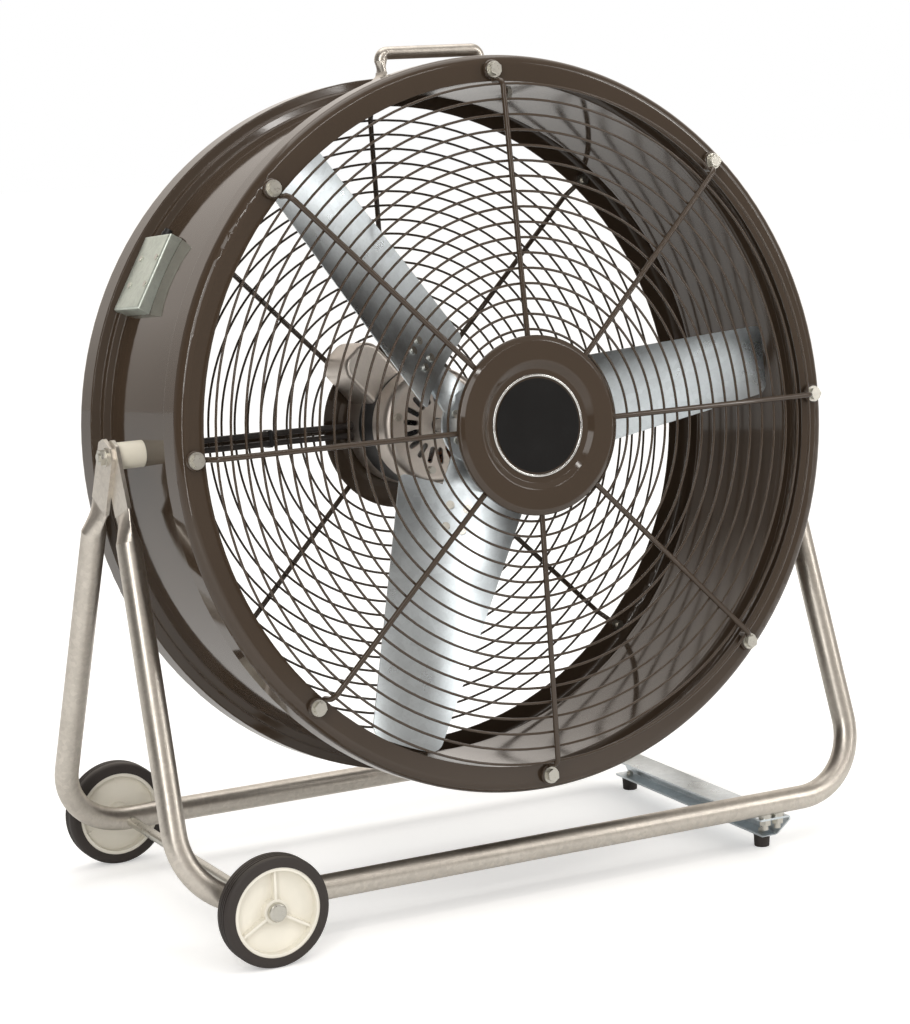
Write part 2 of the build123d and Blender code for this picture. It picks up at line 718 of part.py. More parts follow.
front_plate_a = motor_front_a - BELL_PLATE_T
with BuildPart() as motor_front_bell:
    with BuildSketch(section(90)) as cup:
        with Locations((SHAFT_R + SHAFT_HOLE_GAP, stator_front_a)):
            cup_w = MOTOR_R - SHAFT_R - SHAFT_HOLE_GAP
            Rectangle(cup_w, FRONT_BELL_L, align=(Align.MIN, Align.MIN))
        outer_corner = cup.vertices().sort_by(Axis((0, 0, 0), (1, 1, 0)))[-1]
        fillet(outer_corner, BELL_ROUND_R)
        with Locations((BEARING_R + SEAT_WALL, front_plate_a)):
            hollow_w = motor_in_r - BEARING_R - SEAT_WALL
            Rectangle(hollow_w, FRONT_BELL_L, align=(Align.MIN, Align.MAX), mode=Mode.SUBTRACT)
        with Locations((0, front_plate_a)):
            Rectangle(BEARING_R, FRONT_BELL_L, align=(Align.MIN, Align.MAX), mode=Mode.SUBTRACT)
        with Locations((BEARING_R, front_plate_a - BEARING_W)):
            Rectangle(SEAT_WALL, FRONT_BELL_L, align=(Align.MIN, Align.MAX), mode=Mode.SUBTRACT)
    revolve(axis=DRUM_AXIS)
    slot_pitch = 360 / SLOT_COUNT
    for number in range(SLOT_COUNT):
        slot_angle = slot_pitch * number
        with BuildSketch(across(slot_angle, (SLOT_IN_R + SLOT_OUT_R) / 2, front_plate_a)) as slot:
            SlotOverall(SLOT_OUT_R - SLOT_IN_R, SLOT_W)
        extrude(amount=BELL_PLATE_T, mode=Mode.SUBTRACT)
    for angle in through_angles:
        cut_cylinder(across(angle, THROUGH_R, front_plate_a), THROUGH_SHANK_R + HOLE_GAP, BELL_PLATE_T)
motor_front_bell.part.label = "motor_front_bell"
export_step(motor_front_bell.part, "parts/motor_front_bell.step")

with BuildPart() as motor_bearings:
    for bearing_a in (motor_rear_a + BELL_PLATE_T, front_plate_a - BEARING_W):
        put_cylinder(DRUM.offset(bearing_a), BEARING_R, BEARING_W)
        cut_cylinder(DRUM.offset(bearing_a), SHAFT_R + RUNNING_GAP, BEARING_W)
motor_bearings.part.label = "motor_bearings"
export_step(motor_bearings.part, "parts/motor_bearings.step")

through_l = motor_front_a - motor_rear_a - THROUGH_SHORT
with BuildPart() as motor_through_bolts:
    for angle in through_angles:
        seat = across(angle, THROUGH_R, motor_front_a)
        put_cylinder(seat.offset(-through_l), THROUGH_SHANK_R, through_l + THROUGH_HEAD_H)
        put_cylinder(seat, THROUGH_HEAD_R, THROUGH_HEAD_H)
motor_through_bolts.part.label = "motor_through_bolts"
export_step(motor_through_bolts.part, "parts/motor_through_bolts.step")

with BuildPart() as motor_mount_screws:
    for angle in mount_angles:
        seat = across(angle, MOUNT_CIRCLE_R, motor_rear_a - REAR_DISC_T, -1)
        mount_l = REAR_DISC_T + BELL_PLATE_T
        put_cylinder(seat.offset(-mount_l), MOUNT_SHANK_R, mount_l + MOUNT_HEAD_H)
        put_hexagon(seat, MOUNT_HEAD_AF, MOUNT_HEAD_H)
motor_mount_screws.part.label = "motor_mount_screws"
export_step(motor_mount_screws.part, "parts/motor_mount_screws.step")

# ================================================================ capacitor and its cover
cap_l = CAP_FRONT_A - CAP_REAR_A
with BuildPart() as capacitor_cover:
    with BuildSketch(across(CAP_ANGLE, 0, CAP_REAR_A)) as hood:
        with Locations((CAP_TOP_R, 0)):
            Rectangle(CAP_TOP_R - MOTOR_R / 2, CAP_W, align=(Align.MAX, Align.CENTER))
        tops = hood.vertices().sort_by(Axis.X)[-2:]
        fillet(tops, CAP_CORNER_R)
    extrude(amount=cap_l)
    front_rim = faces().sort_by(DRUM_AXIS)[-1].edges()
    fillet(front_rim.filter_by(lambda edge: edge.length < 2 * CAP_W), CAP_EDGE_R)
    with BuildSketch(across(CAP_ANGLE, 0, CAP_REAR_A + CAP_WALL)) as room:
        with Locations((CAP_TOP_R - CAP_WALL, 0)):
            room_w = CAP_W - 2 * CAP_WALL
            Rectangle(CAP_TOP_R - MOTOR_R / 2, room_w, align=(Align.MAX, Align.CENTER))
        tops = room.vertices().sort_by(Axis.X)[-2:]
        fillet(tops, CAP_CORNER_R - CAP_WALL)
    extrude(amount=cap_l - CAP_EDGE_R / 2 - 2 * CAP_WALL, mode=Mode.SUBTRACT)
    cut_cylinder(DRUM.offset(CAP_REAR_A - cap_l), MOTOR_R, 3 * cap_l)
capacitor_cover.part.label = "capacitor_cover"
export_step(capacitor_cover.part, "parts/capacitor_cover.step")

with BuildPart() as capacitor:
    put_cylinder(across(CAP_ANGLE, MOTOR_R + CAN_R, CAP_REAR_A + CAP_WALL + SEAT_GAP), CAN_R, CAN_L)
capacitor.part.label = "capacitor"
export_step(capacitor.part, "parts/capacitor.step")

# ================================================================ motor leads, their grommets and tie
def local_point(x, v, station):
    """Point of the drum from its own sideways, upward and axial distances."""
    return DRUM.from_local_coords(Vector(x, v, station))


def lead_points(shift):
    """Route of one lead: out of the motor, along the rear arm, round the wall and into the box."""
    return [
        local_point(-MOTOR_R - LEAD_GLAND_L, shift, LEAD_START_A),
        local_point(LEAD_STRAIGHT_X, shift, LEAD_START_A),
        local_point(LEAD_REST_X, shift, LEAD_REST_A),
        local_point(LEAD_END_X, shift, LEAD_END_A),
        drum_point(LEAD_WALL_ANGLE, LEAD_WALL_R - shift, LEAD_WALL_A),
        drum_point(LEAD_TURN_ANGLE, LEAD_TURN_R, LEAD_TURN_A + shift),
        drum_point(LEAD_EXIT_ANGLE, LEAD_EXIT_R, LEAD_EXIT_A + shift),
    ]


def arc_radii(points):
    """Easy arc at each corner of a route, from a share of its shorter run."""
    radii = []
    for before, corner, after in zip(points, points[1:], points[2:]):
        turn = (corner - before).get_angle(after - corner)
        shorter = min((corner - before).length, (after - corner).length)
        radii.append(LEAD_BEND_SHARE * shorter / tan(radians(turn / 2)))
    return radii


with BuildPart() as motor_leads:
    for shift in (LEAD_LOW, LEAD_HIGH):
        bends = arc_radii(lead_points(shift))
        print("lead bend radii", [round(radius, 1) for radius in bends])
        with BuildLine() as lead_route:
            FilletPolyline(*lead_points(shift), radius=bends)
        with BuildSketch(Plane(lead_route.line @ 0, z_dir=lead_route.line % 0)) as lead_end:
            Circle(LEAD_R)
        sweep(lead_end.sketch, path=lead_route.line)
motor_leads.part.label = "motor_leads"
export_step(motor_leads.part, "parts/motor_leads.step")

with BuildPart() as lead_grommets:
    for shift in (LEAD_LOW, LEAD_HIGH):
        gland_seat = Plane(local_point(0, shift, LEAD_START_A), x_dir=DRUM.y_dir, z_dir=DRUM.x_dir * -1)
        put_cylinder(gland_seat.offset(MOTOR_R - MOTOR_WALL), LEAD_GLAND_R, MOTOR_WALL + LEAD_GLAND_L)
    cut_cylinder(DRUM.offset(motor_rear_a), MOTOR_R, REAR_BELL_L)
lead_grommets.part.label = "lead_grommets"
export_step(lead_grommets.part, "parts/lead_grommets.step")

tie_r = REAR_RING_R + TIE_RING * RING_PITCH
tie_low_a = rear_spoke_a(tie_r) - SPOKE_WIRE_R - TIE_GAP
lead_share = (tie_r + LEAD_REST_X) / (LEAD_REST_X - LEAD_END_X)
tie_lead_a = LEAD_REST_A + lead_share * (LEAD_END_A - LEAD_REST_A)
tie_high_a = tie_lead_a + LEAD_R + 2 * TIE_GAP
tie_half = LEAD_HIGH + LEAD_R + TIE_GAP
with BuildPart() as cable_tie:
    tie_seat = Plane(
        local_point(-tie_r - TIE_W / 2, 0, (tie_low_a + tie_high_a) / 2),
        x_dir=DRUM.y_dir,
        z_dir=DRUM.x_dir,
    )
    tie_h = tie_high_a - tie_low_a
    with BuildSketch(tie_seat) as loop:
        RectangleRounded(2 * tie_half + 2 * TIE_T, tie_h + 2 * TIE_T, LEAD_R)
        RectangleRounded(2 * tie_half, tie_h, LEAD_R - TIE_T, mode=Mode.SUBTRACT)
    extrude(amount=TIE_W)
cable_tie.part.label = "cable_tie"
export_step(cable_tie.part, "parts/cable_tie.step")

# ================================================================ junction box on the drum
box_mid_a = (BOX_FRONT_A + BOX_REAR_A) / 2
box_l = BOX_FRONT_A - BOX_REAR_A
box_top = facing_out(BOX_ANGLE, BOX_TOP_R, box_mid_a)
gland_side = BOX_W / 2
gland_plane = Plane(
    origin=box_top.origin + clockwise(BOX_ANGLE) * gland_side + DRUM.z_dir * (GLAND_A - box_mid_a)
    - outward(BOX_ANGLE) * GLAND_LIFT,
    x_dir=DRUM.z_dir,
    z_dir=clockwise(BOX_ANGLE),
)


def post_seat(side, station, radius):
    """Outward plane over one post of the box."""
    middle = facing_out(BOX_ANGLE, radius, station)
    return Plane(middle.origin + clockwise(BOX_ANGLE) * side, x_dir=middle.x_dir, z_dir=middle.z_dir)


def cut_drum_form():
    """Cut a piece back to the outside of the drum."""
    with BuildSketch(section(90)) as form:
        with BuildLine():
            FilletPolyline(*DRUM_LINE, radius=roll_radii)
            Polyline((MOUTH_R, FRONT_A), (0, FRONT_A), (0, REAR_A), (MOUTH_R, REAR_A))
        make_face()
    revolve(form.sketch, axis=DRUM_AXIS, mode=Mode.SUBTRACT)


with BuildPart() as box_cover:
    with BuildSketch(box_top) as lid:
        Rectangle(BOX_W, box_l)
    extrude(amount=-BOX_DEPTH)
    fillet(faces().sort_by(Axis(DRUM.origin, outward(BOX_ANGLE)))[-1].edges(), BOX_BEND_R)
    with BuildSketch(box_top.offset(-SHEET)) as room:
        Rectangle(BOX_W - 2 * SHEET, box_l - 2 * SHEET)
    extrude(amount=-BOX_DEPTH, mode=Mode.SUBTRACT)
    for side, station in post_places:
        cut_cylinder(post_seat(side, station, BOX_TOP_R - 2 * SHEET), BOX_SCREW_R + HOLE_GAP, 3 * SHEET)
    cut_cylinder(gland_plane.offset(-2 * SHEET), GLAND_R, 3 * SHEET)
    cut_drum_form()
box_cover.part.label = "box_cover"
export_step(box_cover.part, "parts/box_cover.step")

with BuildPart() as box_posts:
    for side, station in post_places:
        post_l = BOX_TOP_R - SHEET - drum_bore_r + POST_R
        put_cylinder(post_seat(side, station, drum_bore_r - POST_R), POST_R, post_l)
        cut_cylinder(post_seat(side, station, drum_bore_r - POST_R), BOX_SCREW_R, post_l)
    cut_drum_form()
box_posts.part.label = "box_posts"
export_step(box_posts.part, "parts/box_posts.step")

with BuildPart() as box_screws:
    for side, station in post_places:
        seat = post_seat(side, station, BOX_TOP_R)
        screw_l = SHEET + POST_R
        put_cylinder(seat.offset(-screw_l), BOX_SCREW_R, screw_l + BOX_SCREW_HEAD_H)
        put_cylinder(seat, BOX_SCREW_HEAD_R, BOX_SCREW_HEAD_H)
box_screws.part.label = "box_screws"
export_step(box_screws.part, "parts/box_screws.step")

with BuildPart() as cord_gland:
    put_cylinder(gland_plane.offset(-SHEET - GLAND_IN), GLAND_R, SHEET + GLAND_IN + GLAND_OUT)
    put_cylinder(gland_plane, GLAND_COLLAR_R, GLAND_OUT / 2)
    cut_cylinder(gland_plane.offset(-SHEET - GLAND_IN), GLAND_BORE_R, SHEET + GLAND_IN + GLAND_OUT)
cord_gland.part.label = "cord_gland"
export_step(cord_gland.part, "parts/cord_gland.step")

# ================================================================ carrying handle
handle_plane = DRUM.offset(HANDLE_A)
foot_mid_r = DRUM_R + STRAP_T / 2
grip_end_x = GRIP_HALF + GRIP_BEND_R


def foot_point(reach):
    """Point on the middle of the handle's foot, measured along the drum from its bolt."""
    mid_x = foot_mid_r * sin(radians(STRAP_FOOT_ANGLE))
    mid_v = foot_mid_r * cos(radians(STRAP_FOOT_ANGLE))
    return (
        mid_x + reach * cos(radians(STRAP_FOOT_ANGLE)),
        mid_v - reach * sin(radians(STRAP_FOOT_ANGLE)),
    )


def four_arc_circle(radius):
    """Circle in four arcs, so that it lofts cleanly into a flat strip."""
    corner_x = radius * cos(radians(ARC_QUARTER))
    corner_y = radius * sin(radians(ARC_QUARTER))
    ThreePointArc((corner_x, corner_y), (0, radius), (-corner_x, corner_y))
    ThreePointArc((-corner_x, corner_y), (-radius, 0), (-corner_x, -corner_y))
    ThreePointArc((-corner_x, -corner_y), (0, -radius), (corner_x, -corner_y))
    ThreePointArc((corner_x, -corner_y), (radius, 0), (corner_x, corner_y))


def flat_strip(width, thickness):
    """Flattened tube's outline, with the same four edges as the circle."""
    half = width / 2 - thickness / 2
    rise = thickness / 2
    Line((half, rise), (-half, rise))
    ThreePointArc((-half, rise), (-width / 2, 0), (-half, -rise))
    Line((-half, -rise), (half, -rise))
    ThreePointArc((half, -rise), (width / 2, 0), (half, rise))


def flatten(round_seat, radius, flat_seat, width, thickness):
    """Add the length over which a round end is pressed flat."""
    with BuildSketch(round_seat) as round_end:
        with BuildLine():
            four_arc_circle(radius)
        make_face()
    with BuildSketch(flat_seat) as flat_end:
        with BuildLine():
            flat_strip(width, thickness)
        make_face()
    loft([flat_end.sketch, round_end.sketch])


def half_handle():
    """Right half of the handle, from the middle of its grip to the end of its foot."""
    down = DRUM.y_dir * -1
    with BuildPart() as half:
        with BuildLine(handle_plane) as grip_line:
            first = Line((0, GRIP_V), (GRIP_HALF, GRIP_V))
            RadiusArc(first @ 1, (grip_end_x, GRIP_V - GRIP_BEND_R), GRIP_BEND_R)
        with BuildSketch(Plane(grip_line.line @ 0, x_dir=DRUM.y_dir, z_dir=DRUM.x_dir)) as grip_end:
            Circle(GRIP_R)
        sweep(grip_end.sketch, path=grip_line.line)
        bend_end = handle_plane.from_local_coords(Vector(grip_end_x, GRIP_V - GRIP_BEND_R, 0))
        strap_top = handle_plane.from_local_coords(Vector(grip_end_x, GRIP_V - STRAP_TOP_DROP, 0))
        round_seat = Plane(bend_end, x_dir=DRUM.z_dir, z_dir=down)
        flat_place = Plane(strap_top, x_dir=DRUM.z_dir, z_dir=down)
        flatten(round_seat, GRIP_R, flat_place, STRAP_W, STRAP_T)
        with BuildSketch(handle_plane) as strap_side:
            with BuildLine() as strap_mid:
                FilletPolyline(
                    (grip_end_x, GRIP_V - STRAP_TOP_DROP),
                    (STRAP_KNEE_X, GRIP_V - STRAP_KNEE_DROP),
                    foot_point(-STRAP_FOOT_IN),
                    foot_point(STRAP_FOOT_OUT),
                    radius=[STRAP_BEND_R / 2, STRAP_HEEL_R],
                )
            trace(strap_mid.line, line_width=STRAP_T)
        extrude(strap_side.sketch, amount=STRAP_W / 2, both=True)
    return half.part


with BuildPart() as handle:
    right_half = half_handle()
    add(right_half)
    add(right_half.mirror(Plane(origin=DRUM.origin, x_dir=DRUM.y_dir, z_dir=DRUM.x_dir)))
    for angle in strap_foot_angles:
        cut_cylinder(facing_out(angle, DRUM_R - SHEET, HANDLE_A), HANDLE_SHANK_R + HOLE_GAP, 2 * STRAP_T)
handle.part.label = "handle"
export_step(handle.part, "parts/handle.step")

with BuildPart() as handle_bolts:
    for angle in strap_foot_angles:
        seat = facing_out(angle, DRUM_R + STRAP_T, HANDLE_A)
        handle_shank_l = STRAP_T + SHEET + HANDLE_NUT_H + HANDLE_BOLT_OUT
        put_cylinder(seat.offset(-handle_shank_l), HANDLE_SHANK_R, handle_shank_l + HANDLE_HEAD_H)
        put_hexagon(seat, HANDLE_HEAD_AF, HANDLE_HEAD_H)
handle_bolts.part.label = "handle_bolts"
export_step(handle_bolts.part, "parts/handle_bolts.step")

with BuildPart() as handle_nuts:
    for angle in strap_foot_angles:
        seat = facing_out(angle, drum_bore_r - HANDLE_NUT_H - SEAT_GAP, HANDLE_A)
        put_hexagon(seat, HANDLE_HEAD_AF, HANDLE_NUT_H)
        cut_cylinder(seat, HANDLE_SHANK_R, HANDLE_NUT_H)
handle_nuts.part.label = "handle_nuts"
export_step(handle_nuts.part, "parts/handle_nuts.step")

# ================================================================ trunnions
front_flat_x = TRUNNION_SPACER_X
rear_flat_x = front_flat_x + FLAT_T
outer_washer_x = rear_flat_x + FLAT_T
trunnion_nut_x = outer_washer_x + TRUNNION_WASHER_T
trunnion_end_x = trunnion_nut_x + TRUNNION_NUT_H + TRUNNION_PROUD
trunnion_sides = (trunnion_left, trunnion_right)

with BuildPart() as trunnion_spacers:
    for seat in trunnion_sides:
        spacer_l = TRUNNION_SPACER_X - DRUM_R + TRUNNION_SPACER_R
        spacer_seat = seat.offset(DRUM_R - TRUNNION_SPACER_R)
        put_cylinder(spacer_seat, TRUNNION_SPACER_R, spacer_l)
        cut_cylinder(spacer_seat, TRUNNION_SHANK_R + HOLE_GAP, spacer_l)
    cut_drum_form()
trunnion_spacers.part.label = "trunnion_spacers"
export_step(trunnion_spacers.part, "parts/trunnion_spacers.step")

head_seat_x = drum_bore_r - INNER_WASHER_T
with BuildPart() as trunnion_bolts:
    for seat in trunnion_sides:
        put_cylinder(seat.offset(head_seat_x), TRUNNION_SHANK_R, trunnion_end_x - head_seat_x)
        put_hexagon(seat.offset(head_seat_x - TRUNNION_HEAD_H), TRUNNION_HEAD_AF, TRUNNION_HEAD_H)
trunnion_bolts.part.label = "trunnion_bolts"
export_step(trunnion_bolts.part, "parts/trunnion_bolts.step")

with BuildPart() as inner_washers:
    for seat in trunnion_sides:
        put_cylinder(seat.offset(head_seat_x), TRUNNION_WASHER_R, INNER_WASHER_T + SHEET)
        cut_cylinder(seat.offset(head_seat_x), TRUNNION_SHANK_R + HOLE_GAP, INNER_WASHER_T + SHEET)
    bore_form = Plane(origin=drum_point(0, 0, -TRUNNION_WASHER_R * 2), z_dir=DRUM.z_dir)
    with Locations(bore_form):
        Cylinder(drum_bore_r, TRUNNION_WASHER_R * 4, align=LOW, mode=Mode.INTERSECT)

with BuildPart() as trunnion_washers:
    add(inner_washers.part)
    for seat in trunnion_sides:
        put_cylinder(seat.offset(outer_washer_x), TRUNNION_WASHER_R, TRUNNION_WASHER_T)
        cut_cylinder(seat.offset(outer_washer_x), TRUNNION_SHANK_R + HOLE_GAP, TRUNNION_WASHER_T)
trunnion_washers.part.label = "trunnion_washers"
export_step(trunnion_washers.part, "parts/trunnion_washers.step")

with BuildPart() as trunnion_nuts:
    for seat in trunnion_sides:
        put_hexagon(seat.offset(trunnion_nut_x), TRUNNION_HEAD_AF, TRUNNION_NUT_H)
        cut_cylinder(seat.offset(trunnion_nut_x), TRUNNION_SHANK_R, TRUNNION_NUT_H)
trunnion_nuts.part.label = "trunnion_nuts"
export_step(trunnion_nuts.part, "parts/trunnion_nuts.step")

# ================================================================ shaft and rotor
with BuildPart() as shaft:
    put_cylinder(DRUM.offset(SHAFT_REAR_A), SHAFT_R, SHAFT_FRONT_A - SHAFT_REAR_A)
shaft.part.label = "shaft"
export_step(shaft.part, "parts/shaft.step")

with BuildPart() as rotor_core:
    put_cylinder(DRUM.offset(stator_rear_a), STATOR_IN_R - AIR_GAP, STATOR_L)
    cut_cylinder(DRUM.offset(stator_rear_a), SHAFT_R, STATOR_L)
rotor_core.part.label = "rotor_core"
export_step(rotor_core.part, "parts/rotor_core.step")


# ================================================================ blades
def blend(start, end, share):
    """Point part of the way between two points."""
    return (start[0] + share * (end[0] - start[0]), start[1] + share * (end[1] - start[1]))


def blade_arc(lead, trail, camber, lift, share):
    """Point on a blade's section at a share of its arc, lifted towards its suction side."""
    chord = hypot(trail[0] - lead[0], trail[1] - lead[1])
    normal = (-(trail[1] - lead[1]) / chord, (trail[0] - lead[0]) / chord)
    radius = (chord * chord / 4 + camber * camber) / (2 * camber)
    middle = blend(lead, trail, 0.5)
    centre = (middle[0] - normal[0] * (radius - camber), middle[1] - normal[1] * (radius - camber))
    start = atan2(lead[1] - centre[1], lead[0] - centre[0])
    end = atan2(trail[1] - centre[1], trail[0] - centre[0])
    sweep_angle = (end - start + radians(180)) % radians(360) - radians(180)
    turn = start + share * sweep_angle
    return (centre[0] + (radius + lift) * cos(turn), centre[1] + (radius + lift) * sin(turn))


def root_point(lift, share):
    """Point on the blade's root section."""
    return blade_arc(ROOT_LEAD, ROOT_TRAIL, ROOT_CAMBER, lift, share)


def tip_point(lift, share):
    """Point on the blade's tip section."""
    return blade_arc(TIP_LEAD, TIP_TRAIL, TIP_CAMBER, lift, share)


def span_point(rho, lift, share):
    """Point on the blade's surface at a distance along its span."""
    along = (rho - BLADE_ROOT_RHO) / (BLADE_TIP_RHO - BLADE_ROOT_RHO)
    return blend(root_point(lift, share), tip_point(lift, share), along)


def span_plane(angle, rho):
    """Plane square to a blade's span: x clockwise, y towards the outlet."""
    return Plane(
        origin=DRUM.origin + outward(angle) * rho,
        x_dir=clockwise(angle),
        z_dir=outward(angle) * -1,
    )


def strip_outline(point_at, low, high, share_from, share_to):
    """Outline of a cambered strip between two lifts."""
    middle = (share_from + share_to) / 2
    ThreePointArc(point_at(high, share_from), point_at(high, middle), point_at(high, share_to))
    Line(point_at(high, share_to), point_at(low, share_to))
    ThreePointArc(point_at(low, share_to), point_at(low, middle), point_at(low, share_from))
    Line(point_at(low, share_from), point_at(high, share_from))


def drill_rivets(angle, radius):
    """Drill the rivet holes of one blade."""
    for seat in rivet_seats(angle):
        cut_cylinder(seat.offset(-2 * ARM_T), radius, 4 * ARM_T)


def blade_point(angle, rho, lift, share):
    """Point on a blade in the drum."""
    side, station = span_point(rho, lift, share)
    return DRUM.origin + outward(angle) * rho + clockwise(angle) * side + DRUM.z_dir * station


def rivet_seats(angle):
    """Planes on a blade's pressure side that carry its rivets, facing the outlet."""
    seats = []
    for rho in RIVET_RHOS:
        for share in RIVET_STEPS:
            place = blade_point(angle, rho, -BLADE_T / 2, share)
            along_span = blade_point(angle, rho + BLADE_T, -BLADE_T / 2, share) - place
            along_chord = blade_point(angle, rho, -BLADE_T / 2, share + RIVET_PROBE) - place
            seats.append(Plane(place, x_dir=along_span, z_dir=along_span.cross(along_chord)))
    return seats


def cut_planform(angle):
    """Trim a blade to its outline: straight edges, a round tip and rounded corners."""
    corners = [
        (ROOT_LEAD[0], BLADE_ROOT_RHO),
        (TIP_LEAD[0], BLADE_TIP_RHO),
        (TIP_TRAIL[0], BLADE_TIP_RHO),
        (ROOT_TRAIL[0], BLADE_ROOT_RHO),
    ]
    blade_front = Plane(origin=DRUM.origin, x_dir=clockwise(angle), z_dir=DRUM.z_dir)
    with BuildSketch(blade_front) as planform:
        with BuildLine():
            Polyline(*corners, close=True)
        make_face()
        Circle(BLADE_TIP_R, mode=Mode.INTERSECT)
        fillet(planform.vertices().sort_by(Axis.Y)[-2:], BLADE_CORNER_R)
        fillet(planform.vertices().sort_by(Axis.Y)[:2], BLADE_ROOT_CORNER_R)
    extrude(planform.sketch, amount=BLADE_TIP_R, both=True, mode=Mode.INTERSECT)


for blade_number, blade_angle in enumerate(BLADE_ANGLES, start=1):
    with BuildPart() as blade:
        with BuildSketch(span_plane(blade_angle, BLADE_ROOT_RHO - BLADE_T)):
            with BuildLine():
                strip_outline(
                    lambda lift, share: span_point(BLADE_ROOT_RHO - BLADE_T, lift, share),
                    -BLADE_T / 2, BLADE_T / 2, -BLADE_TRIM, 1 + BLADE_TRIM,
                )
            make_face()
        with BuildSketch(span_plane(blade_angle, BLADE_TIP_RHO)):
            with BuildLine():
                strip_outline(tip_point, -BLADE_T / 2, BLADE_T / 2, -BLADE_TRIM, 1 + BLADE_TRIM)
            make_face()
        loft(ruled=True)
        cut_planform(blade_angle)
        drill_rivets(blade_angle, RIVET_R)
    blade.part.label = f"blade_{blade_number}"
    export_step(blade.part, f"parts/blade_{blade_number}.step")

# ================================================================ spider that carries the blades
arm_low = BLADE_T / 2 + ARM_GAP
arm_high = arm_low + ARM_T


def pad_outline(angle, rho):
    """Section of an arm's pad, which follows the blade, at a distance along the span."""
    with BuildSketch(span_plane(angle, rho)) as outline:
        with BuildLine():
            strip_outline(
                lambda lift, share: span_point(rho, lift, share),
                arm_low, arm_high, ARM_FROM, ARM_TO,
            )
        make_face()
    return outline.sketch


def add_arm(angle):
    """Add one arm of the spider: a neck that twists out of the disc and a pad for the blade."""
    neck_line = [
        (NECK_HALF, SPIDER_A + NECK_SINK),
        (-NECK_HALF, SPIDER_A + NECK_SINK),
        (-NECK_HALF, SPIDER_A + ARM_T - NECK_SINK),
        (NECK_HALF, SPIDER_A + ARM_T - NECK_SINK),
    ]
    with BuildSketch(span_plane(angle, NECK_RHO)) as neck_in:
        with BuildLine():
            Polyline(*neck_line, close=True)
        make_face()
    pad_in = pad_outline(angle, ARM_IN_RHO)
    pad_out = pad_outline(angle, ARM_OUT_RHO)
    loft([neck_in.sketch, pad_in, pad_out], ruled=True)


with BuildPart() as spider:
    put_cylinder(DRUM.offset(SPIDER_A), SPIDER_R, ARM_T)
    for angle in BLADE_ANGLES:
        add_arm(angle)
    cut_cylinder(DRUM.offset(SPIDER_A - ARM_T), HUB_R, 3 * ARM_T)
    for number in range(HUB_RIVETS):
        hole_seat = across(360 / HUB_RIVETS * number, HUB_RIVET_CIRCLE_R, SPIDER_A - ARM_T)
        cut_cylinder(hole_seat, RIVET_R, 3 * ARM_T)
    for angle in BLADE_ANGLES:
        drill_rivets(angle, RIVET_R)
spider.part.label = "spider"
export_step(spider.part, "parts/spider.step")

with BuildPart() as blade_rivets:
    for angle in BLADE_ANGLES:
        for seat in rivet_seats(angle):
            rivet_l = BLADE_T + ARM_GAP + ARM_T
            put_cylinder(seat.offset(-rivet_l - RIVET_LIFT), RIVET_R, rivet_l + 2 * RIVET_LIFT)
            put_cylinder(seat.offset(RIVET_LIFT), RIVET_HEAD_R, RIVET_HEAD_H)
            tail_seat = seat.offset(-rivet_l - RIVET_LIFT - RIVET_HEAD_H)
            put_cylinder(tail_seat, RIVET_TAIL_R, RIVET_HEAD_H)
blade_rivets.part.label = "blade_rivets"
export_step(blade_rivets.part, "parts/blade_rivets.step")

# ================================================================ propeller hub
with BuildPart() as propeller_hub:
    put_cylinder(DRUM.offset(HUB_REAR_A), HUB_R, HUB_FRONT_A - HUB_REAR_A)
    put_cylinder(DRUM.offset(SPIDER_A - HUB_FLANGE_T), HUB_FLANGE_R, HUB_FLANGE_T)
    cut_cylinder(DRUM.offset(HUB_REAR_A), SHAFT_R, HUB_FRONT_A - HUB_REAR_A)
    for number in range(HUB_RIVETS):
        hole_seat = across(360 / HUB_RIVETS * number, HUB_RIVET_CIRCLE_R, SPIDER_A - HUB_FLANGE_T)
        cut_cylinder(hole_seat, RIVET_R, HUB_FLANGE_T)
    screw_seat = facing_out(SET_SCREW_ANGLE, SHAFT_R, (HUB_FRONT_A + SPIDER_A + ARM_T) / 2)
    cut_cylinder(screw_seat, SET_SCREW_R, HUB_R)
propeller_hub.part.label = "propeller_hub"
export_step(propeller_hub.part, "parts/propeller_hub.step")

with BuildPart() as hub_rivets:
    for number in range(HUB_RIVETS):
        seat = across(360 / HUB_RIVETS * number, HUB_RIVET_CIRCLE_R, SPIDER_A + ARM_T)
        hub_rivet_l = ARM_T + HUB_FLANGE_T
        put_cylinder(seat.offset(-hub_rivet_l), RIVET_R, hub_rivet_l)
        put_cylinder(seat, RIVET_HEAD_R, RIVET_HEAD_H)
        put_cylinder(seat.offset(-hub_rivet_l - RIVET_HEAD_H), RIVET_HEAD_R, RIVET_HEAD_H)
hub_rivets.part.label = "hub_rivets"
export_step(hub_rivets.part, "parts/hub_rivets.step")

with BuildPart() as set_screw:
    put_cylinder(screw_seat, SET_SCREW_R, HUB_R - SHAFT_R)
set_screw.part.label = "set_screw"
export_step(set_screw.part, "parts/set_screw.step")


# ================================================================ stand tubes
def flat_end_seat(side, hand, inner_x):
    """Plane of a flattened tube end, through the trunnion's axis: y up the strip."""
    lean = radians(FLAT_LEAN)
    up = Vector(0, -side * sin(lean), cos(lean))
    return Plane(
        origin=(hand * inner_x, side * FLAT_OFFSET, PIVOT_Z),
        x_dir=up.cross(Vector(hand, 0, 0)),
        z_dir=(hand, 0, 0),
    )


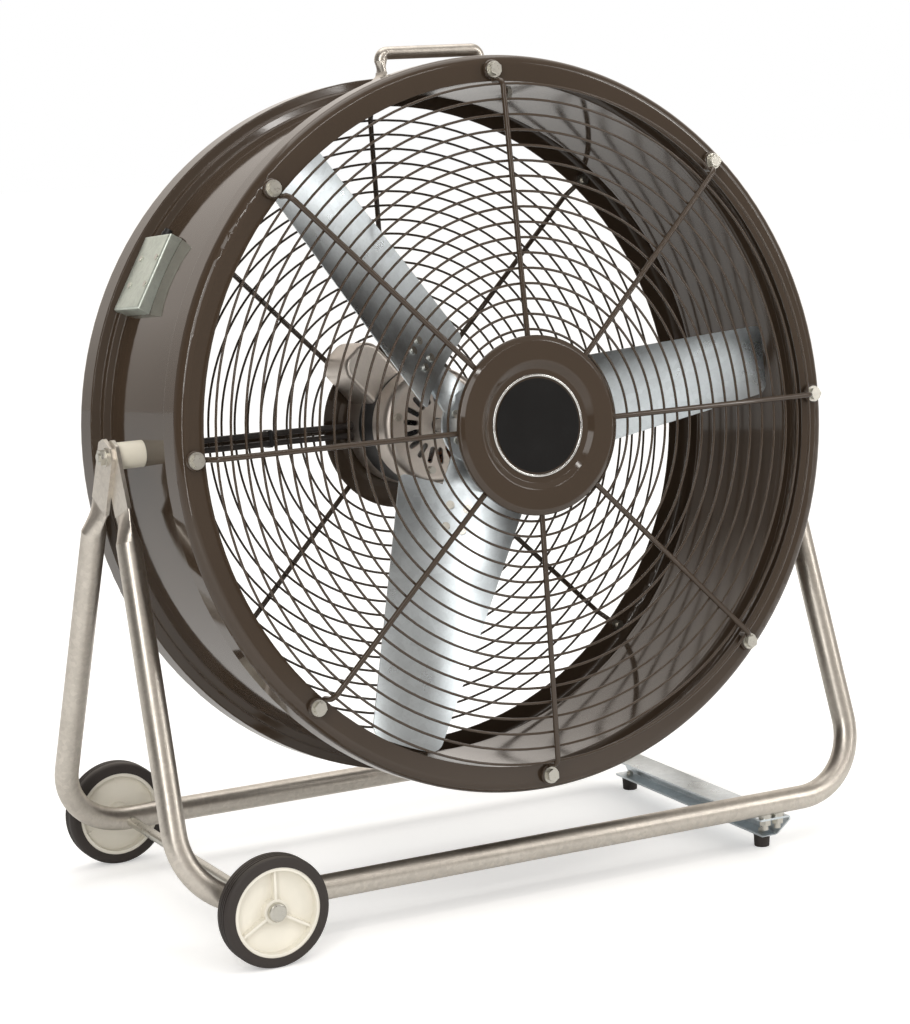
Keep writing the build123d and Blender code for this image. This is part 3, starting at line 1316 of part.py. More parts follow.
def add_flat_end(side, hand, leg_top_x, inner_x):
    """Add the pressed end of one leg: its flattening length and its drilled strip."""
    seat = flat_end_seat(side, hand, inner_x)
    strip_low = -FLAT_DROP / cos(radians(FLAT_LEAN))
    leg_top = Vector(hand * leg_top_x, side * LEG_TOP_Y, PIVOT_Z - LEG_TOP_DROP)
    leg_way = (leg_top - Vector(hand * CORNER_X, side * RUN_Y, RUN_Z)).normalized()
    round_seat = Plane(leg_top, x_dir=leg_way.cross(Vector(1, 0, 0)), z_dir=leg_way)
    flat_place = seat.from_local_coords(Vector(0, strip_low, FLAT_T / 2))
    flat_turn = Plane(flat_place, x_dir=seat.y_dir.cross(Vector(1, 0, 0)), z_dir=seat.y_dir)
    flatten(round_seat, TUBE_R, flat_turn, 2 * FLAT_HALF, FLAT_T)
    with BuildSketch(seat) as strip:
        with BuildLine():
            Polyline(
                (-FLAT_HALF, strip_low),
                (FLAT_HALF, strip_low),
                (FLAT_HALF, FLAT_SHOULDER),
                (FLAT_TIP_HALF, FLAT_TIP),
                (-FLAT_TIP_HALF, FLAT_TIP),
                (-FLAT_HALF, FLAT_SHOULDER),
                close=True,
            )
        make_face()
        fillet(strip.vertices().sort_by(Axis.Y)[-4:], FLAT_CORNER_R)
    extrude(strip.sketch, amount=FLAT_T)


def stand_tube(side, leg_top_x, inner_x):
    """One bent tube with both ends flattened: side -1 is the outlet side, +1 the inlet side."""
    rise = Vector(0, side * (LEG_TOP_Y - RUN_Y), PIVOT_Z - LEG_TOP_DROP - RUN_Z)
    bent = Plane(
        origin=(0, side * RUN_Y, RUN_Z),
        x_dir=(1, 0, 0),
        z_dir=Vector(1, 0, 0).cross(rise.normalized()),
    )
    corners = [
        (-leg_top_x, rise.length),
        (-CORNER_X, 0),
        (CORNER_X, 0),
        (leg_top_x, rise.length),
    ]
    with BuildPart() as tube:
        with BuildLine(bent) as route:
            FilletPolyline(*corners, radius=CORNER_R)
        end_seat = Plane(route.line @ 0, z_dir=route.line % 0)
        with BuildSketch(end_seat) as outer:
            Circle(TUBE_R)
        sweep(outer.sketch, path=route.line)
        for hand in (-1, 1):
            add_flat_end(side, hand, leg_top_x, inner_x)
        with BuildSketch(end_seat) as bore:
            Circle(TUBE_R - TUBE_WALL)
        sweep(bore.sketch, path=route.line, mode=Mode.SUBTRACT)
        for seat in trunnion_sides:
            cut_cylinder(seat.offset(inner_x - FLAT_T), TRUNNION_SHANK_R + TRUNNION_GAP, 3 * FLAT_T)
        axle_hole = Plane(origin=(AXLE_X, side * (RUN_Y - 2 * TUBE_R), WHEEL_R), z_dir=(0, side, 0))
        cut_cylinder(axle_hole, AXLE_R + AXLE_GAP, 4 * TUBE_R)
    return tube.part


front_tube = stand_tube(-1, FRONT_LEG_TOP_X, front_flat_x)
front_tube.label = "front_tube"
export_step(front_tube, "parts/front_tube.step")

rear_tube = stand_tube(1, REAR_LEG_TOP_X, rear_flat_x)
rear_tube.label = "rear_tube"
export_step(rear_tube, "parts/rear_tube.step")

# ================================================================ foot bar
bar_out_x = BAR_X + BAR_W
stud_places = [(x, side * RUN_Y) for side in (-1, 1) for x in STUD_XS]
foot_places = [(FOOT_X, side * FOOT_Y) for side in (-1, 1)]
with BuildPart() as foot_bar:
    with BuildSketch(Plane.XZ.offset(-BAR_HALF_Y)) as channel:
        with BuildLine():
            fold = FilletPolyline(
                (BAR_X, BAR_TOP_Z),
                (bar_out_x, BAR_TOP_Z),
                (bar_out_x, FOOT_H),
                (bar_out_x - BAR_LIP_W, FOOT_H),
                radius=BAR_BEND_R,
            )
            offset(fold, amount=BAR_T, side=Side.RIGHT, mode=Mode.ADD)
        make_face()
    extrude(amount=2 * BAR_HALF_Y)
    for side in (-1, 1):
        with BuildSketch(Plane.YZ.offset(BAR_X - BAR_T)) as mitre:
            with BuildLine():
                Polyline(
                    (side * (BAR_HALF_Y + BAR_T), MITRE_TOP_Z),
                    (side * BAR_HALF_Y, MITRE_TOP_Z),
                    (side * MITRE_Y, FOOT_H - BAR_T),
                    (side * (BAR_HALF_Y + BAR_T), FOOT_H - BAR_T),
                    close=True,
                )
            make_face()
        extrude(amount=BAR_W + 2 * BAR_T, mode=Mode.SUBTRACT)
    for x, y in stud_places:
        cut_cylinder(Plane((x, y, BAR_TOP_Z - 2 * BAR_T)), STUD_R + HOLE_GAP, 3 * BAR_T)
    for x, y in foot_places:
        cut_cylinder(Plane((x, y, FOOT_H - BAR_T)), FOOT_SCREW_R + HOLE_GAP, 3 * BAR_T)
foot_bar.part.label = "foot_bar"
export_step(foot_bar.part, "parts/foot_bar.step")

run_axes = [Plane(origin=(BAR_X - BAR_W, side * RUN_Y, RUN_Z), z_dir=(1, 0, 0)) for side in (-1, 1)]
with BuildPart() as bar_studs:
    for x, y in stud_places:
        stud_bottom = BAR_TOP_Z - BAR_T - STUD_OUT
        put_cylinder(Plane((x, y, stud_bottom)), STUD_R, RUN_Z - stud_bottom)
    for run_axis in run_axes:
        cut_cylinder(run_axis, TUBE_R, 3 * BAR_W)
bar_studs.part.label = "bar_studs"
export_step(bar_studs.part, "parts/bar_studs.step")

with BuildPart() as bar_spacers:
    for x, y in stud_places:
        put_cylinder(Plane((x, y, BAR_TOP_Z)), SADDLE_R, RUN_Z - BAR_TOP_Z)
        cut_cylinder(Plane((x, y, BAR_TOP_Z)), STUD_R + HOLE_GAP, RUN_Z - BAR_TOP_Z)
    for run_axis in run_axes:
        cut_cylinder(run_axis, TUBE_R, 3 * BAR_W)
bar_spacers.part.label = "bar_spacers"
export_step(bar_spacers.part, "parts/bar_spacers.step")

with BuildPart() as bar_nuts:
    for x, y in stud_places:
        nut_seat = Plane((x, y, BAR_TOP_Z - BAR_T - STUD_NUT_H))
        put_hexagon(nut_seat, STUD_NUT_AF, STUD_NUT_H)
        cut_cylinder(nut_seat, STUD_R, STUD_NUT_H)
bar_nuts.part.label = "bar_nuts"
export_step(bar_nuts.part, "parts/bar_nuts.step")

with BuildPart() as rubber_feet:
    for x, y in foot_places:
        with Locations((x, y, 0)):
            Cone(FOOT_R - FOOT_TAPER, FOOT_R, FOOT_H, align=LOW)
    fillet(faces().filter_by(Plane.XY).sort_by(Axis.Z)[:2].edges(), FOOT_EDGE_R)
    for x, y in foot_places:
        cut_cylinder(Plane((x, y, 0)), FOOT_WELL_R, FOOT_WELL_H)
        cut_cylinder(Plane((x, y, 0)), FOOT_SCREW_R, FOOT_H)
rubber_feet.part.label = "rubber_feet"
export_step(rubber_feet.part, "parts/rubber_feet.step")

foot_screw_top = FOOT_H + BAR_T + FOOT_NUT_H + FOOT_SCREW_PROUD
with BuildPart() as foot_screws:
    for x, y in foot_places:
        head_z = FOOT_WELL_H - FOOT_HEAD_H
        put_cylinder(Plane((x, y, head_z)), FOOT_HEAD_R, FOOT_HEAD_H)
        put_cylinder(Plane((x, y, head_z)), FOOT_SCREW_R, foot_screw_top - head_z)
foot_screws.part.label = "foot_screws"
export_step(foot_screws.part, "parts/foot_screws.step")

with BuildPart() as foot_nuts:
    for x, y in foot_places:
        nut_seat = Plane((x, y, FOOT_H + BAR_T))
        put_hexagon(nut_seat, FOOT_NUT_AF, FOOT_NUT_H)
        cut_cylinder(nut_seat, FOOT_SCREW_R, FOOT_NUT_H)
foot_nuts.part.label = "foot_nuts"
export_step(foot_nuts.part, "parts/foot_nuts.step")

# ================================================================ axle, wheels and push nuts
washer_in_y = RUN_Y + TUBE_R
boss_in_y = washer_in_y + AXLE_WASHER_T + WHEEL_END_GAP
wheel_out_y = WHEEL_IN_Y + WHEEL_W
boss_out_y = wheel_out_y - WHEEL_BOSS_INSET
push_nut_y = boss_out_y + WHEEL_END_GAP
axle_end_y = push_nut_y + (PUSH_NUT_END_Y - push_nut_y) / 2


def axle_plane(side, distance):
    """Plane square to the axle at a distance from the middle, facing outwards."""
    return Plane(origin=(AXLE_X, side * distance, WHEEL_R), x_dir=(1, 0, 0), z_dir=(0, side, 0))


def wheel_section(side):
    """Plane through the axle: x outwards from it, y away from the middle of the stand."""
    return Plane(origin=(AXLE_X, 0, WHEEL_R), x_dir=(1, 0, 0), z_dir=Vector(1, 0, 0).cross(Vector(0, side, 0)))


with BuildPart() as axle:
    put_cylinder(axle_plane(1, -axle_end_y), AXLE_R, 2 * axle_end_y)
axle.part.label = "axle"
export_step(axle.part, "parts/axle.step")

with BuildPart() as axle_washers:
    for side in (-1, 1):
        put_cylinder(axle_plane(side, washer_in_y), AXLE_WASHER_R, AXLE_WASHER_T)
        cut_cylinder(axle_plane(side, washer_in_y), AXLE_R + AXLE_GAP, AXLE_WASHER_T)
axle_washers.part.label = "axle_washers"
export_step(axle_washers.part, "parts/axle_washers.step")

with BuildPart() as push_nuts:
    for side in (-1, 1):
        nut_h = PUSH_NUT_END_Y - push_nut_y
        put_cylinder(axle_plane(side, push_nut_y), PUSH_NUT_R, nut_h)
        outer_rim = faces().sort_by(Axis.Y)[-1 if side > 0 else 0].edges()
        fillet(outer_rim, nut_h / 2)
        cut_cylinder(axle_plane(side, push_nut_y), AXLE_R, axle_end_y - push_nut_y)
push_nuts.part.label = "push_nuts"
export_step(push_nuts.part, "parts/push_nuts.step")


def wheel_hub(side):
    """Moulded wheel centre: boss, dished web, rim and ribs."""
    axle_line = Axis((AXLE_X, 0, WHEEL_R), (0, side, 0))
    web_in = boss_out_y - WHEEL_WEB_INSET - WHEEL_WEB_T
    rim_in_r = WHEEL_HUB_R - WHEEL_RIM_T
    with BuildPart() as hub:
        with BuildSketch(wheel_section(side)) as profile:
            with BuildLine():
                Polyline(
                    (AXLE_R + AXLE_GAP, boss_in_y),
                    (WHEEL_BOSS_R, boss_in_y),
                    (WHEEL_BOSS_R, web_in),
                    (rim_in_r, web_in + WHEEL_WEB_DISH),
                    (rim_in_r, WHEEL_IN_Y + WHEEL_RIM_INSET),
                    (WHEEL_HUB_R, WHEEL_IN_Y + WHEEL_RIM_INSET),
                    (WHEEL_HUB_R, wheel_out_y - WHEEL_RIM_INSET),
                    (rim_in_r, wheel_out_y - WHEEL_RIM_INSET),
                    (rim_in_r, web_in + WHEEL_WEB_DISH + WHEEL_WEB_T),
                    (WHEEL_BOSS_R, web_in + WHEEL_WEB_T),
                    (WHEEL_BOSS_R, boss_out_y),
                    (AXLE_R + AXLE_GAP, boss_out_y),
                    close=True,
                )
            make_face()
        revolve(profile.sketch, axis=axle_line)
        for number in range(WHEEL_RIBS):
            rib_y = web_in + WHEEL_WEB_T / 2
            rib_h = wheel_out_y - WHEEL_RIB_INSET - rib_y
            rib_angle = radians(360 / WHEEL_RIBS * number + 90)
            rib_way = Vector(cos(rib_angle), 0, sin(rib_angle))
            rib_start = axle_plane(side, rib_y).origin + rib_way * (WHEEL_BOSS_R - WHEEL_RIB_T / 2)
            with Locations(Plane(rib_start, x_dir=rib_way, z_dir=(0, side, 0))):
                rib_l = rim_in_r - WHEEL_BOSS_R + WHEEL_RIB_T
                Box(rib_l, WHEEL_RIB_T, rib_h, align=(Align.MIN, Align.CENTER, Align.MIN))
    return hub.part


def tyre(side):
    """Rubber tyre with rounded shoulders and grooves near its outer shoulder."""
    axle_line = Axis((AXLE_X, 0, WHEEL_R), (0, side, 0))
    with BuildPart() as ring:
        with BuildSketch(wheel_section(side)) as profile:
            with Locations((WHEEL_HUB_R, WHEEL_IN_Y)):
                Rectangle(WHEEL_R - WHEEL_HUB_R, WHEEL_W, align=(Align.MIN, Align.MIN))
            crown = profile.vertices().sort_by(Axis.X)[-2:]
            fillet(crown, TYRE_ROUND_R)
            for inset in GROOVE_INSETS:
                with Locations((WHEEL_R, wheel_out_y - inset)):
                    Rectangle(2 * GROOVE_DEPTH, GROOVE_W, mode=Mode.SUBTRACT)
        revolve(profile.sketch, axis=axle_line)
    return ring.part


for side, place in ((-1, "front"), (1, "rear")):
    hub_part = wheel_hub(side)
    hub_part.label = f"wheel_hub_{place}"
    export_step(hub_part, f"parts/wheel_hub_{place}.step")
    tyre_part = tyre(side)
    tyre_part.label = f"tyre_{place}"
    export_step(tyre_part, f"parts/tyre_{place}.step")
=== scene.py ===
"""A drum fan on a wheeled tube stand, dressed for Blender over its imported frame."""
import math

import bpy
from mathutils import Euler, Matrix, Vector


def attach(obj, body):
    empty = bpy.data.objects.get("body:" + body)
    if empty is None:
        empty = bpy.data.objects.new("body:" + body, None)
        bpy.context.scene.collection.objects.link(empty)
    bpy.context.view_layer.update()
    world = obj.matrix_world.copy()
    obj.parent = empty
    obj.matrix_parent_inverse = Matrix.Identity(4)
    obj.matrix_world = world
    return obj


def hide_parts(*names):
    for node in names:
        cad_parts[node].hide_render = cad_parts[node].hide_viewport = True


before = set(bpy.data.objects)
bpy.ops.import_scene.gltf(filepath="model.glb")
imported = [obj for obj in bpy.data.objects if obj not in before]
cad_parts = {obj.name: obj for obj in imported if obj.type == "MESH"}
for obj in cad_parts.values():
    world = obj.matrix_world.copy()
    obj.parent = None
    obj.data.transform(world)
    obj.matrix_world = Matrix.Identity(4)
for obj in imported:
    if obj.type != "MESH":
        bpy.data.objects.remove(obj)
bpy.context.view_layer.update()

bl_info = {
    "name": "Drum Fan",
    "version": (1, 0, 0),
    "blender": (4, 5, 0),
    "location": "3D View > Sidebar > Drum Fan",
    "description": "Dresses a drum fan on a wheeled tube stand",
    "category": "Add Mesh",
}

MM = 0.001

# The drum's own axes: X to the right, Y up its face, Z out of its outlet.
AXIS_HEIGHT = 537.4
TILT = math.radians(6.8)
DRUM = Matrix.Translation((0, 0, AXIS_HEIGHT * MM)) @ Euler((math.pi / 2 - TILT, 0, 0)).to_matrix().to_4x4()

# Places along the drum's axis, in millimetres: the rims' faces, and where the spokes run above them.
FRONT_FACE = 158.0
FRONT_CROWN = 192.6
FRONT_SHOULDER = 183.5
REAR_FACE = -142.0
REAR_CROWN = -158.3
REAR_SHOULDER = -153.2

# Radii from the drum's axis: where spokes start, leave the disc and bend down to their rim, each guard's
# first ring, and the circle of the bolts.
FRONT_IN = 86.0
FRONT_DISC = 102.2
FRONT_FALL = 391.2
FRONT_FIRST_RING = 109.0
REAR_IN = 66.0
REAR_SHOULDER_AT = 378.0
REAR_FALL = 391.5
REAR_FIRST_RING = 114.8
BOLT_CIRCLE = 404.5

# The spokes' bends by their radius, the eyes by their radius and their wire's, how far a spoke's end sinks
# into its eye, and how far a ring sinks into a spoke where they are welded.
FRONT_BENDS = (10.0, 3.5)
REAR_BENDS = (15.0, 6.0)
EYE_MIDDLE = 8.1
EYE_WIRE = 3.3
EYE_SINK = 0.2
WELD_DEPTH = 0.4

# A weld nugget's half lengths across its spoke, along it and through the weld,
# and how far its middle sits from the spoke's.
NUGGET = (3.1, 2.5, 1.7)
NUGGET_DROP = 2.7

# How finely wires and welds are drawn: steps along a piece and sides round it.
RING_STEPS = (120, 10)
EYE_STEPS = (32, 12)
NUGGET_STEPS = (8, 5)
SPOKE_SIDES = 14
BEND_STEPS = 6

# Points closer than this are merged, and edges flatter than these angles are smoothed.
MERGE_DISTANCE = 0.01
SPOKE_SMOOTHING = 35.0
GUARD_SMOOTHING = 50.0

# The camera, worked out from the photograph.
CAMERA_PLACE = (-1.6119, -2.9881, 1.0528)
CAMERA_RIGHT = (0.87781, -0.47827, -0.02657)
CAMERA_UP = (0.10902, 0.14546, 0.98334)
CAMERA_BACK = (-0.46643, -0.86608, 0.17983)
CAMERA_LENS = 101.24
CAMERA_SENSOR = 36.0
CAMERA_REACH = 100.0

# Plain studio light: how bright the room is all round, how bright it looks in gloss, and the tint
# that it has in gloss and that the light has everywhere else.
ROOM_SOFT_LIGHT = 0.80
ROOM_FRONT_LIGHT = 0.42
ROOM_SIDE_LIGHT = 0.28
ROOM_BACK_LIGHT = 1.0
WARM_ROOM = (1.0, 0.93, 0.86)
WARM_LIGHT = (1.0, 0.975, 0.945)

# Where the room turns from grey to white paper, along a look's Y, and from its dark left side, along X.
PAPER_FROM, PAPER_TO = 0.1, 0.5
SIDE_FROM, SIDE_TO = -0.44, -0.26

# The floor: its size in metres, how matt it is and how much it glows for the camera alone.
FLOOR_SIZE = 24.0
FLOOR_ROUGHNESS = 0.9
FLOOR_GLOW = 0.36

# Each soft box: where it stands, where it looks, its width and height in metres and its power in watts.
# The three broad ones light the fan, and the three narrow ones draw thin lines in its gloss.
SOFT_LIGHTS = (
    ((-2.1, -2.6, 2.5), (0, 0, 0.5), 1.2, 2.2, 26),
    ((2.8, -2.4, 2.2), (0, 0, 0.5), 1.2, 2.0, 16),
    ((0.2, 0.6, 3.2), (0, 0, 0.4), 2.4, 2.0, 22),
    ((-2.0, -2.1, 1.3), (0, 0, 0.6), 0.09, 2.4, 12),
    ((2.3, -2.4, 1.4), (0, 0, 0.6), 0.09, 2.2, 9),
    ((0.0, -2.0, 2.8), (0, 0, 0.6), 2.2, 0.09, 9),
)

# What time leaves: dust, in patches of some millimetres, on what faces up by more than a share,
# and enamel worn thin at its edges, by a share at most.
ENAMEL_DUST = "#7c7268"
ENAMEL_EDGE = "#7b6f65"
PLASTIC_DUST = "#8f887d"
DUST_PATCH = 35.0
DUST_FROM = 0.55
ENAMEL_WEAR = 0.35

# Most of a soft noise lies between these values.
NOISE_LOW, NOISE_HIGH = 0.3, 0.7

# How many rays look for the edges near a point.
EDGE_SAMPLES = 6


def linear(code):
    """Linear colour of an sRGB hex value."""
    values = [int(code[i:i + 2], 16) / 255 for i in (1, 3, 5)]
    return [v / 12.92 if v <= 0.04045 else ((v + 0.055) / 1.055) ** 2.4 for v in values]


def per_metre(size):
    """Texture scale at which one feature is that many millimetres across."""
    return 1 / (size * MM)


# ---------------------------------------------------------------- settings
class FanSizes(bpy.types.PropertyGroup):
    """Sizes of the guards' wires"""
    ring_wire: bpy.props.FloatProperty(
        name="Ring wire", description="Thickness of the guards' ring wire",
        default=3.0 * MM, min=2.0 * MM, max=5.0 * MM, unit="LENGTH", subtype="DISTANCE")
    spoke_wire: bpy.props.FloatProperty(
        name="Spoke wire", description="Thickness of the guards' spoke wire",
        default=6.4 * MM, min=4.0 * MM, max=8.0 * MM, unit="LENGTH", subtype="DISTANCE")
    ring_pitch: bpy.props.FloatProperty(
        name="Ring pitch", description="Distance from one guard ring to the next",
        default=17.36 * MM, min=15.0 * MM, max=17.36 * MM, unit="LENGTH", subtype="DISTANCE")
    front_rings: bpy.props.IntProperty(
        name="Front rings", description="Number of rings in the front guard",
        default=17, min=8, max=17)
    rear_rings: bpy.props.IntProperty(
        name="Rear rings", description="Number of rings in the rear guard",
        default=16, min=8, max=16)
    spokes: bpy.props.IntProperty(
        name="Spokes", description="Number of spokes in each guard, one for each bolt",
        default=8, min=8, max=8)


def colour_setting(name, description, code):
    """A colour that the user may change."""
    return bpy.props.FloatVectorProperty(
        name=name, description=description, default=linear(code), min=0.0, max=1.0,
        size=3, subtype="COLOR")


class FanFinishes(bpy.types.PropertyGroup):
    """Colours of the fan's finishes"""
    enamel: colour_setting("Enamel", "Enamel of the drum, the guards and the discs", "#3d3228")
    tube_zinc: colour_setting("Tube zinc", "Dipped zinc of the stand's tubes", "#cfc9c0")
    sheet_zinc: colour_setting("Sheet zinc", "Zinc coat of the blades and the bar", "#dbe3e8")
    plate_zinc: colour_setting("Plated zinc", "Bright zinc plate of bolts, nuts and rivets", "#c9c7bf")
    castings: colour_setting("Castings", "Bare cast alloy of the motor and the hub", "#d8d0c8")
    hub_plastic: colour_setting("Wheel plastic", "Moulded plastic of the wheels", "#e8e4d8")
    rubber: colour_setting("Rubber", "Rubber of the tyres, the feet and the leads", "#302a27")
    label: colour_setting("Label", "Gloss black of the bare label", "#070708")
    floor: colour_setting("Floor", "Pale floor of the stage", "#f1f1f0")


# ---------------------------------------------------------------- materials
def add_node(tree, kind, settings=None, inputs=None):
    """Adds a node with its settings; an input given as a socket is linked, any other is set."""
    node = tree.nodes.new(kind)
    for name, value in (settings or {}).items():
        setattr(node, name, value)
    for name, value in (inputs or {}).items():
        if isinstance(value, bpy.types.NodeSocket):
            tree.links.new(value, node.inputs[name])
        else:
            node.inputs[name].default_value = value
    return node


def start_finish(name):
    """A new material's tree and the place in the object that its patterns follow."""
    material = bpy.data.materials.new(name)
    material.use_nodes = True
    tree = material.node_tree
    tree.nodes.clear()
    return tree, add_node(tree, "ShaderNodeTexCoord").outputs["Object"]


def end_finish(tree, inputs):
    """Gives what the patterns make to the shader, and the shader to the material."""
    shader = add_node(tree, "ShaderNodeBsdfPrincipled", inputs=inputs)
    add_node(tree, "ShaderNodeOutputMaterial", inputs={"Surface": shader.outputs[0]})


def shade(colour, share=1.0):
    """A colour made darker or lighter by a share, held below white, as a node takes it."""
    return (*(min(1.0, value * share) for value in colour), 1.0)


def drift(tree, place, size, detail, shades, roughness):
    """A soft pattern of patches of a size, and the colour and the roughness that drift with it."""
    pattern = add_node(tree, "ShaderNodeTexNoise", inputs={
        "Vector": place, "Scale": per_metre(size), "Detail": detail}).outputs["Fac"]
    tone = add_node(tree, "ShaderNodeMix", {"data_type": "RGBA"}, {
        "Factor": pattern, "A": shades[0], "B": shades[1]}).outputs["Result"]
    rough = add_node(tree, "ShaderNodeMapRange", inputs={
        "Value": pattern, "From Min": NOISE_LOW, "From Max": NOISE_HIGH,
        "To Min": roughness[0], "To Max": roughness[1]}).outputs[0]
    return pattern, tone, rough


def raise_grain(tree, pattern, strength, depth, edge_radius):
    """Relief of a pattern, over edges that are rolled as a press or a mould leaves them."""
    inputs = {"Strength": strength, "Distance": depth * MM, "Height": pattern}
    if edge_radius:
        inputs["Normal"] = add_node(tree, "ShaderNodeBevel", {"samples": EDGE_SAMPLES}, {
            "Radius": edge_radius * MM}).outputs[0]
    return add_node(tree, "ShaderNodeBump", inputs=inputs).outputs[0]


def settle_dust(tree, place, tone, amount, dust):
    """Colour with thin, patchy dust on what faces up."""
    normal = add_node(tree, "ShaderNodeNewGeometry").outputs["Normal"]
    upward = add_node(tree, "ShaderNodeSeparateXYZ", inputs={0: normal}).outputs["Z"]
    level = add_node(tree, "ShaderNodeMapRange", inputs={
        "Value": upward, "From Min": DUST_FROM, "From Max": 1.0,
        "To Min": 0.0, "To Max": amount}).outputs[0]
    patch = add_node(tree, "ShaderNodeTexNoise", inputs={
        "Vector": place, "Scale": per_metre(DUST_PATCH), "Detail": 5.0}).outputs["Fac"]
    cover = add_node(tree, "ShaderNodeMath", {"operation": "MULTIPLY"}, {0: level, 1: patch}).outputs[0]
    return add_node(tree, "ShaderNodeMix", {"data_type": "RGBA"}, {
        "Factor": cover, "A": tone, "B": shade(linear(dust))}).outputs["Result"]


def wear_edges(tree, tone, radius):
    """Colour of enamel worn a little thinner on edges, where a rolled normal leaves the true one."""
    rolled = add_node(tree, "ShaderNodeBevel", {"samples": EDGE_SAMPLES}, {"Radius": radius * MM}).outputs[0]
    normal = add_node(tree, "ShaderNodeNewGeometry").outputs["Normal"]
    same = add_node(tree, "ShaderNodeVectorMath", {"operation": "DOT_PRODUCT"}, {
        0: rolled, 1: normal}).outputs["Value"]
    worn = add_node(tree, "ShaderNodeMapRange", inputs={
        "Value": same, "From Min": 0.97, "From Max": 0.80, "To Min": 0.0, "To Max": ENAMEL_WEAR}).outputs[0]
    return add_node(tree, "ShaderNodeMix", {"data_type": "RGBA"}, {
        "Factor": worn, "A": tone, "B": shade(linear(ENAMEL_EDGE))}).outputs["Result"]


def enamel_finish(name, colour, edge_radius):
    """Baked gloss enamel on steel: dark, glossy, a fine orange peel, dusty, worn a little at its edges."""
    tree, place = start_finish(name)
    shades = (shade(colour, 0.90), shade(colour, 1.10))
    _, tone, rough = drift(tree, place, size=90.0, detail=4.0, shades=shades, roughness=(0.05, 0.09))
    tone = settle_dust(tree, place, tone, amount=0.30, dust=ENAMEL_DUST)
    if edge_radius:
        tone = wear_edges(tree, tone, edge_radius)
    # Real orange peel is finer. This is as coarse as it needs to be to show.
    peel = add_node(tree, "ShaderNodeTexNoise", inputs={
        "Vector": place, "Scale": per_metre(5.0), "Detail": 0.0}).outputs["Fac"]
    relief = raise_grain(tree, peel, strength=0.20, depth=0.02, edge_radius=edge_radius)
    end_finish(tree, {"Base Color": tone, "Roughness": rough, "Normal": relief, "IOR": 1.48})


def zinc_finish(name, colour, crystal, contrast, roughness, edge_radius):
    """Zinc on steel: faint crystals of a few shades, fine specks between them and soft clouds."""
    tree, place = start_finish(name)
    cells = add_node(tree, "ShaderNodeTexVoronoi", {"feature": "F1"}, {
        "Vector": place, "Scale": per_metre(crystal)}).outputs["Color"]
    chance = add_node(tree, "ShaderNodeSeparateColor", inputs={0: cells}).outputs[0]
    tone = add_node(tree, "ShaderNodeMix", {"data_type": "RGBA"}, {
        "Factor": chance, "A": shade(colour, 1 - contrast), "B": shade(colour, 1 + contrast),
    }).outputs["Result"]
    specks = add_node(tree, "ShaderNodeTexNoise", inputs={
        "Vector": place, "Scale": per_metre(3.0), "Detail": 2.0}).outputs["Fac"]
    clouds = add_node(tree, "ShaderNodeTexNoise", inputs={
        "Vector": place, "Scale": per_metre(60.0), "Detail": 6.0}).outputs["Fac"]
    # Specks, then clouds, mix in up to 30 % of a darker shade where their noise is high.
    for pattern, low, high, dark in ((specks, 0.50, 0.75, 0.75), (clouds, 0.42, 0.68, 0.76)):
        cover = add_node(tree, "ShaderNodeMapRange", inputs={
            "Value": pattern, "From Min": low, "From Max": high, "To Min": 0.0, "To Max": 0.30}).outputs[0]
        tone = add_node(tree, "ShaderNodeMix", {"data_type": "RGBA"}, {
            "Factor": cover, "A": tone, "B": shade(colour, dark)}).outputs["Result"]
    rough = add_node(tree, "ShaderNodeMapRange", inputs={
        "Value": clouds, "From Min": 0.35, "From Max": 0.65,
        "To Min": roughness - 0.04, "To Max": roughness + 0.07}).outputs[0]
    inputs = {"Base Color": tone, "Roughness": rough, "Metallic": 1.0}
    if edge_radius:
        inputs["Normal"] = add_node(tree, "ShaderNodeBevel", {"samples": EDGE_SAMPLES}, {
            "Radius": edge_radius * MM}).outputs[0]
    end_finish(tree, inputs)


def metal_finish(name, colour, roughness, grain, edge_radius):
    """Bare or plated metal with a fine grain, drawn coarser than a real one so that it shows."""
    tree, place = start_finish(name)
    shades = (shade(colour, 0.92), shade(colour, 1.08))
    specks, tone, rough = drift(tree, place, size=grain, detail=1.0, shades=shades,
                                roughness=(roughness - 0.03, roughness + 0.04))
    relief = raise_grain(tree, specks, strength=0.06, depth=0.01, edge_radius=edge_radius)
    end_finish(tree, {"Base Color": tone, "Roughness": rough, "Normal": relief, "Metallic": 1.0})


def plastic_finish(name, colour, roughness, grain, edge_radius, dust=0.0):
    """Moulded plastic or rubber with a fine grain, drawn coarser than a real one so that it shows."""
    tree, place = start_finish(name)
    shades = (shade(colour, 0.90), shade(colour, 1.08))
    _, tone, rough = drift(tree, place, size=40.0, detail=4.0, shades=shades,
                           roughness=(roughness - 0.05, roughness + 0.06))
    if dust:
        tone = settle_dust(tree, place, tone, amount=dust, dust=PLASTIC_DUST)
    specks = add_node(tree, "ShaderNodeTexNoise", inputs={
        "Vector": place, "Scale": per_metre(grain), "Detail": 1.0}).outputs["Fac"]
    relief = raise_grain(tree, specks, strength=0.20, depth=0.02, edge_radius=edge_radius)
    end_finish(tree, {"Base Color": tone, "Roughness": rough, "Normal": relief})


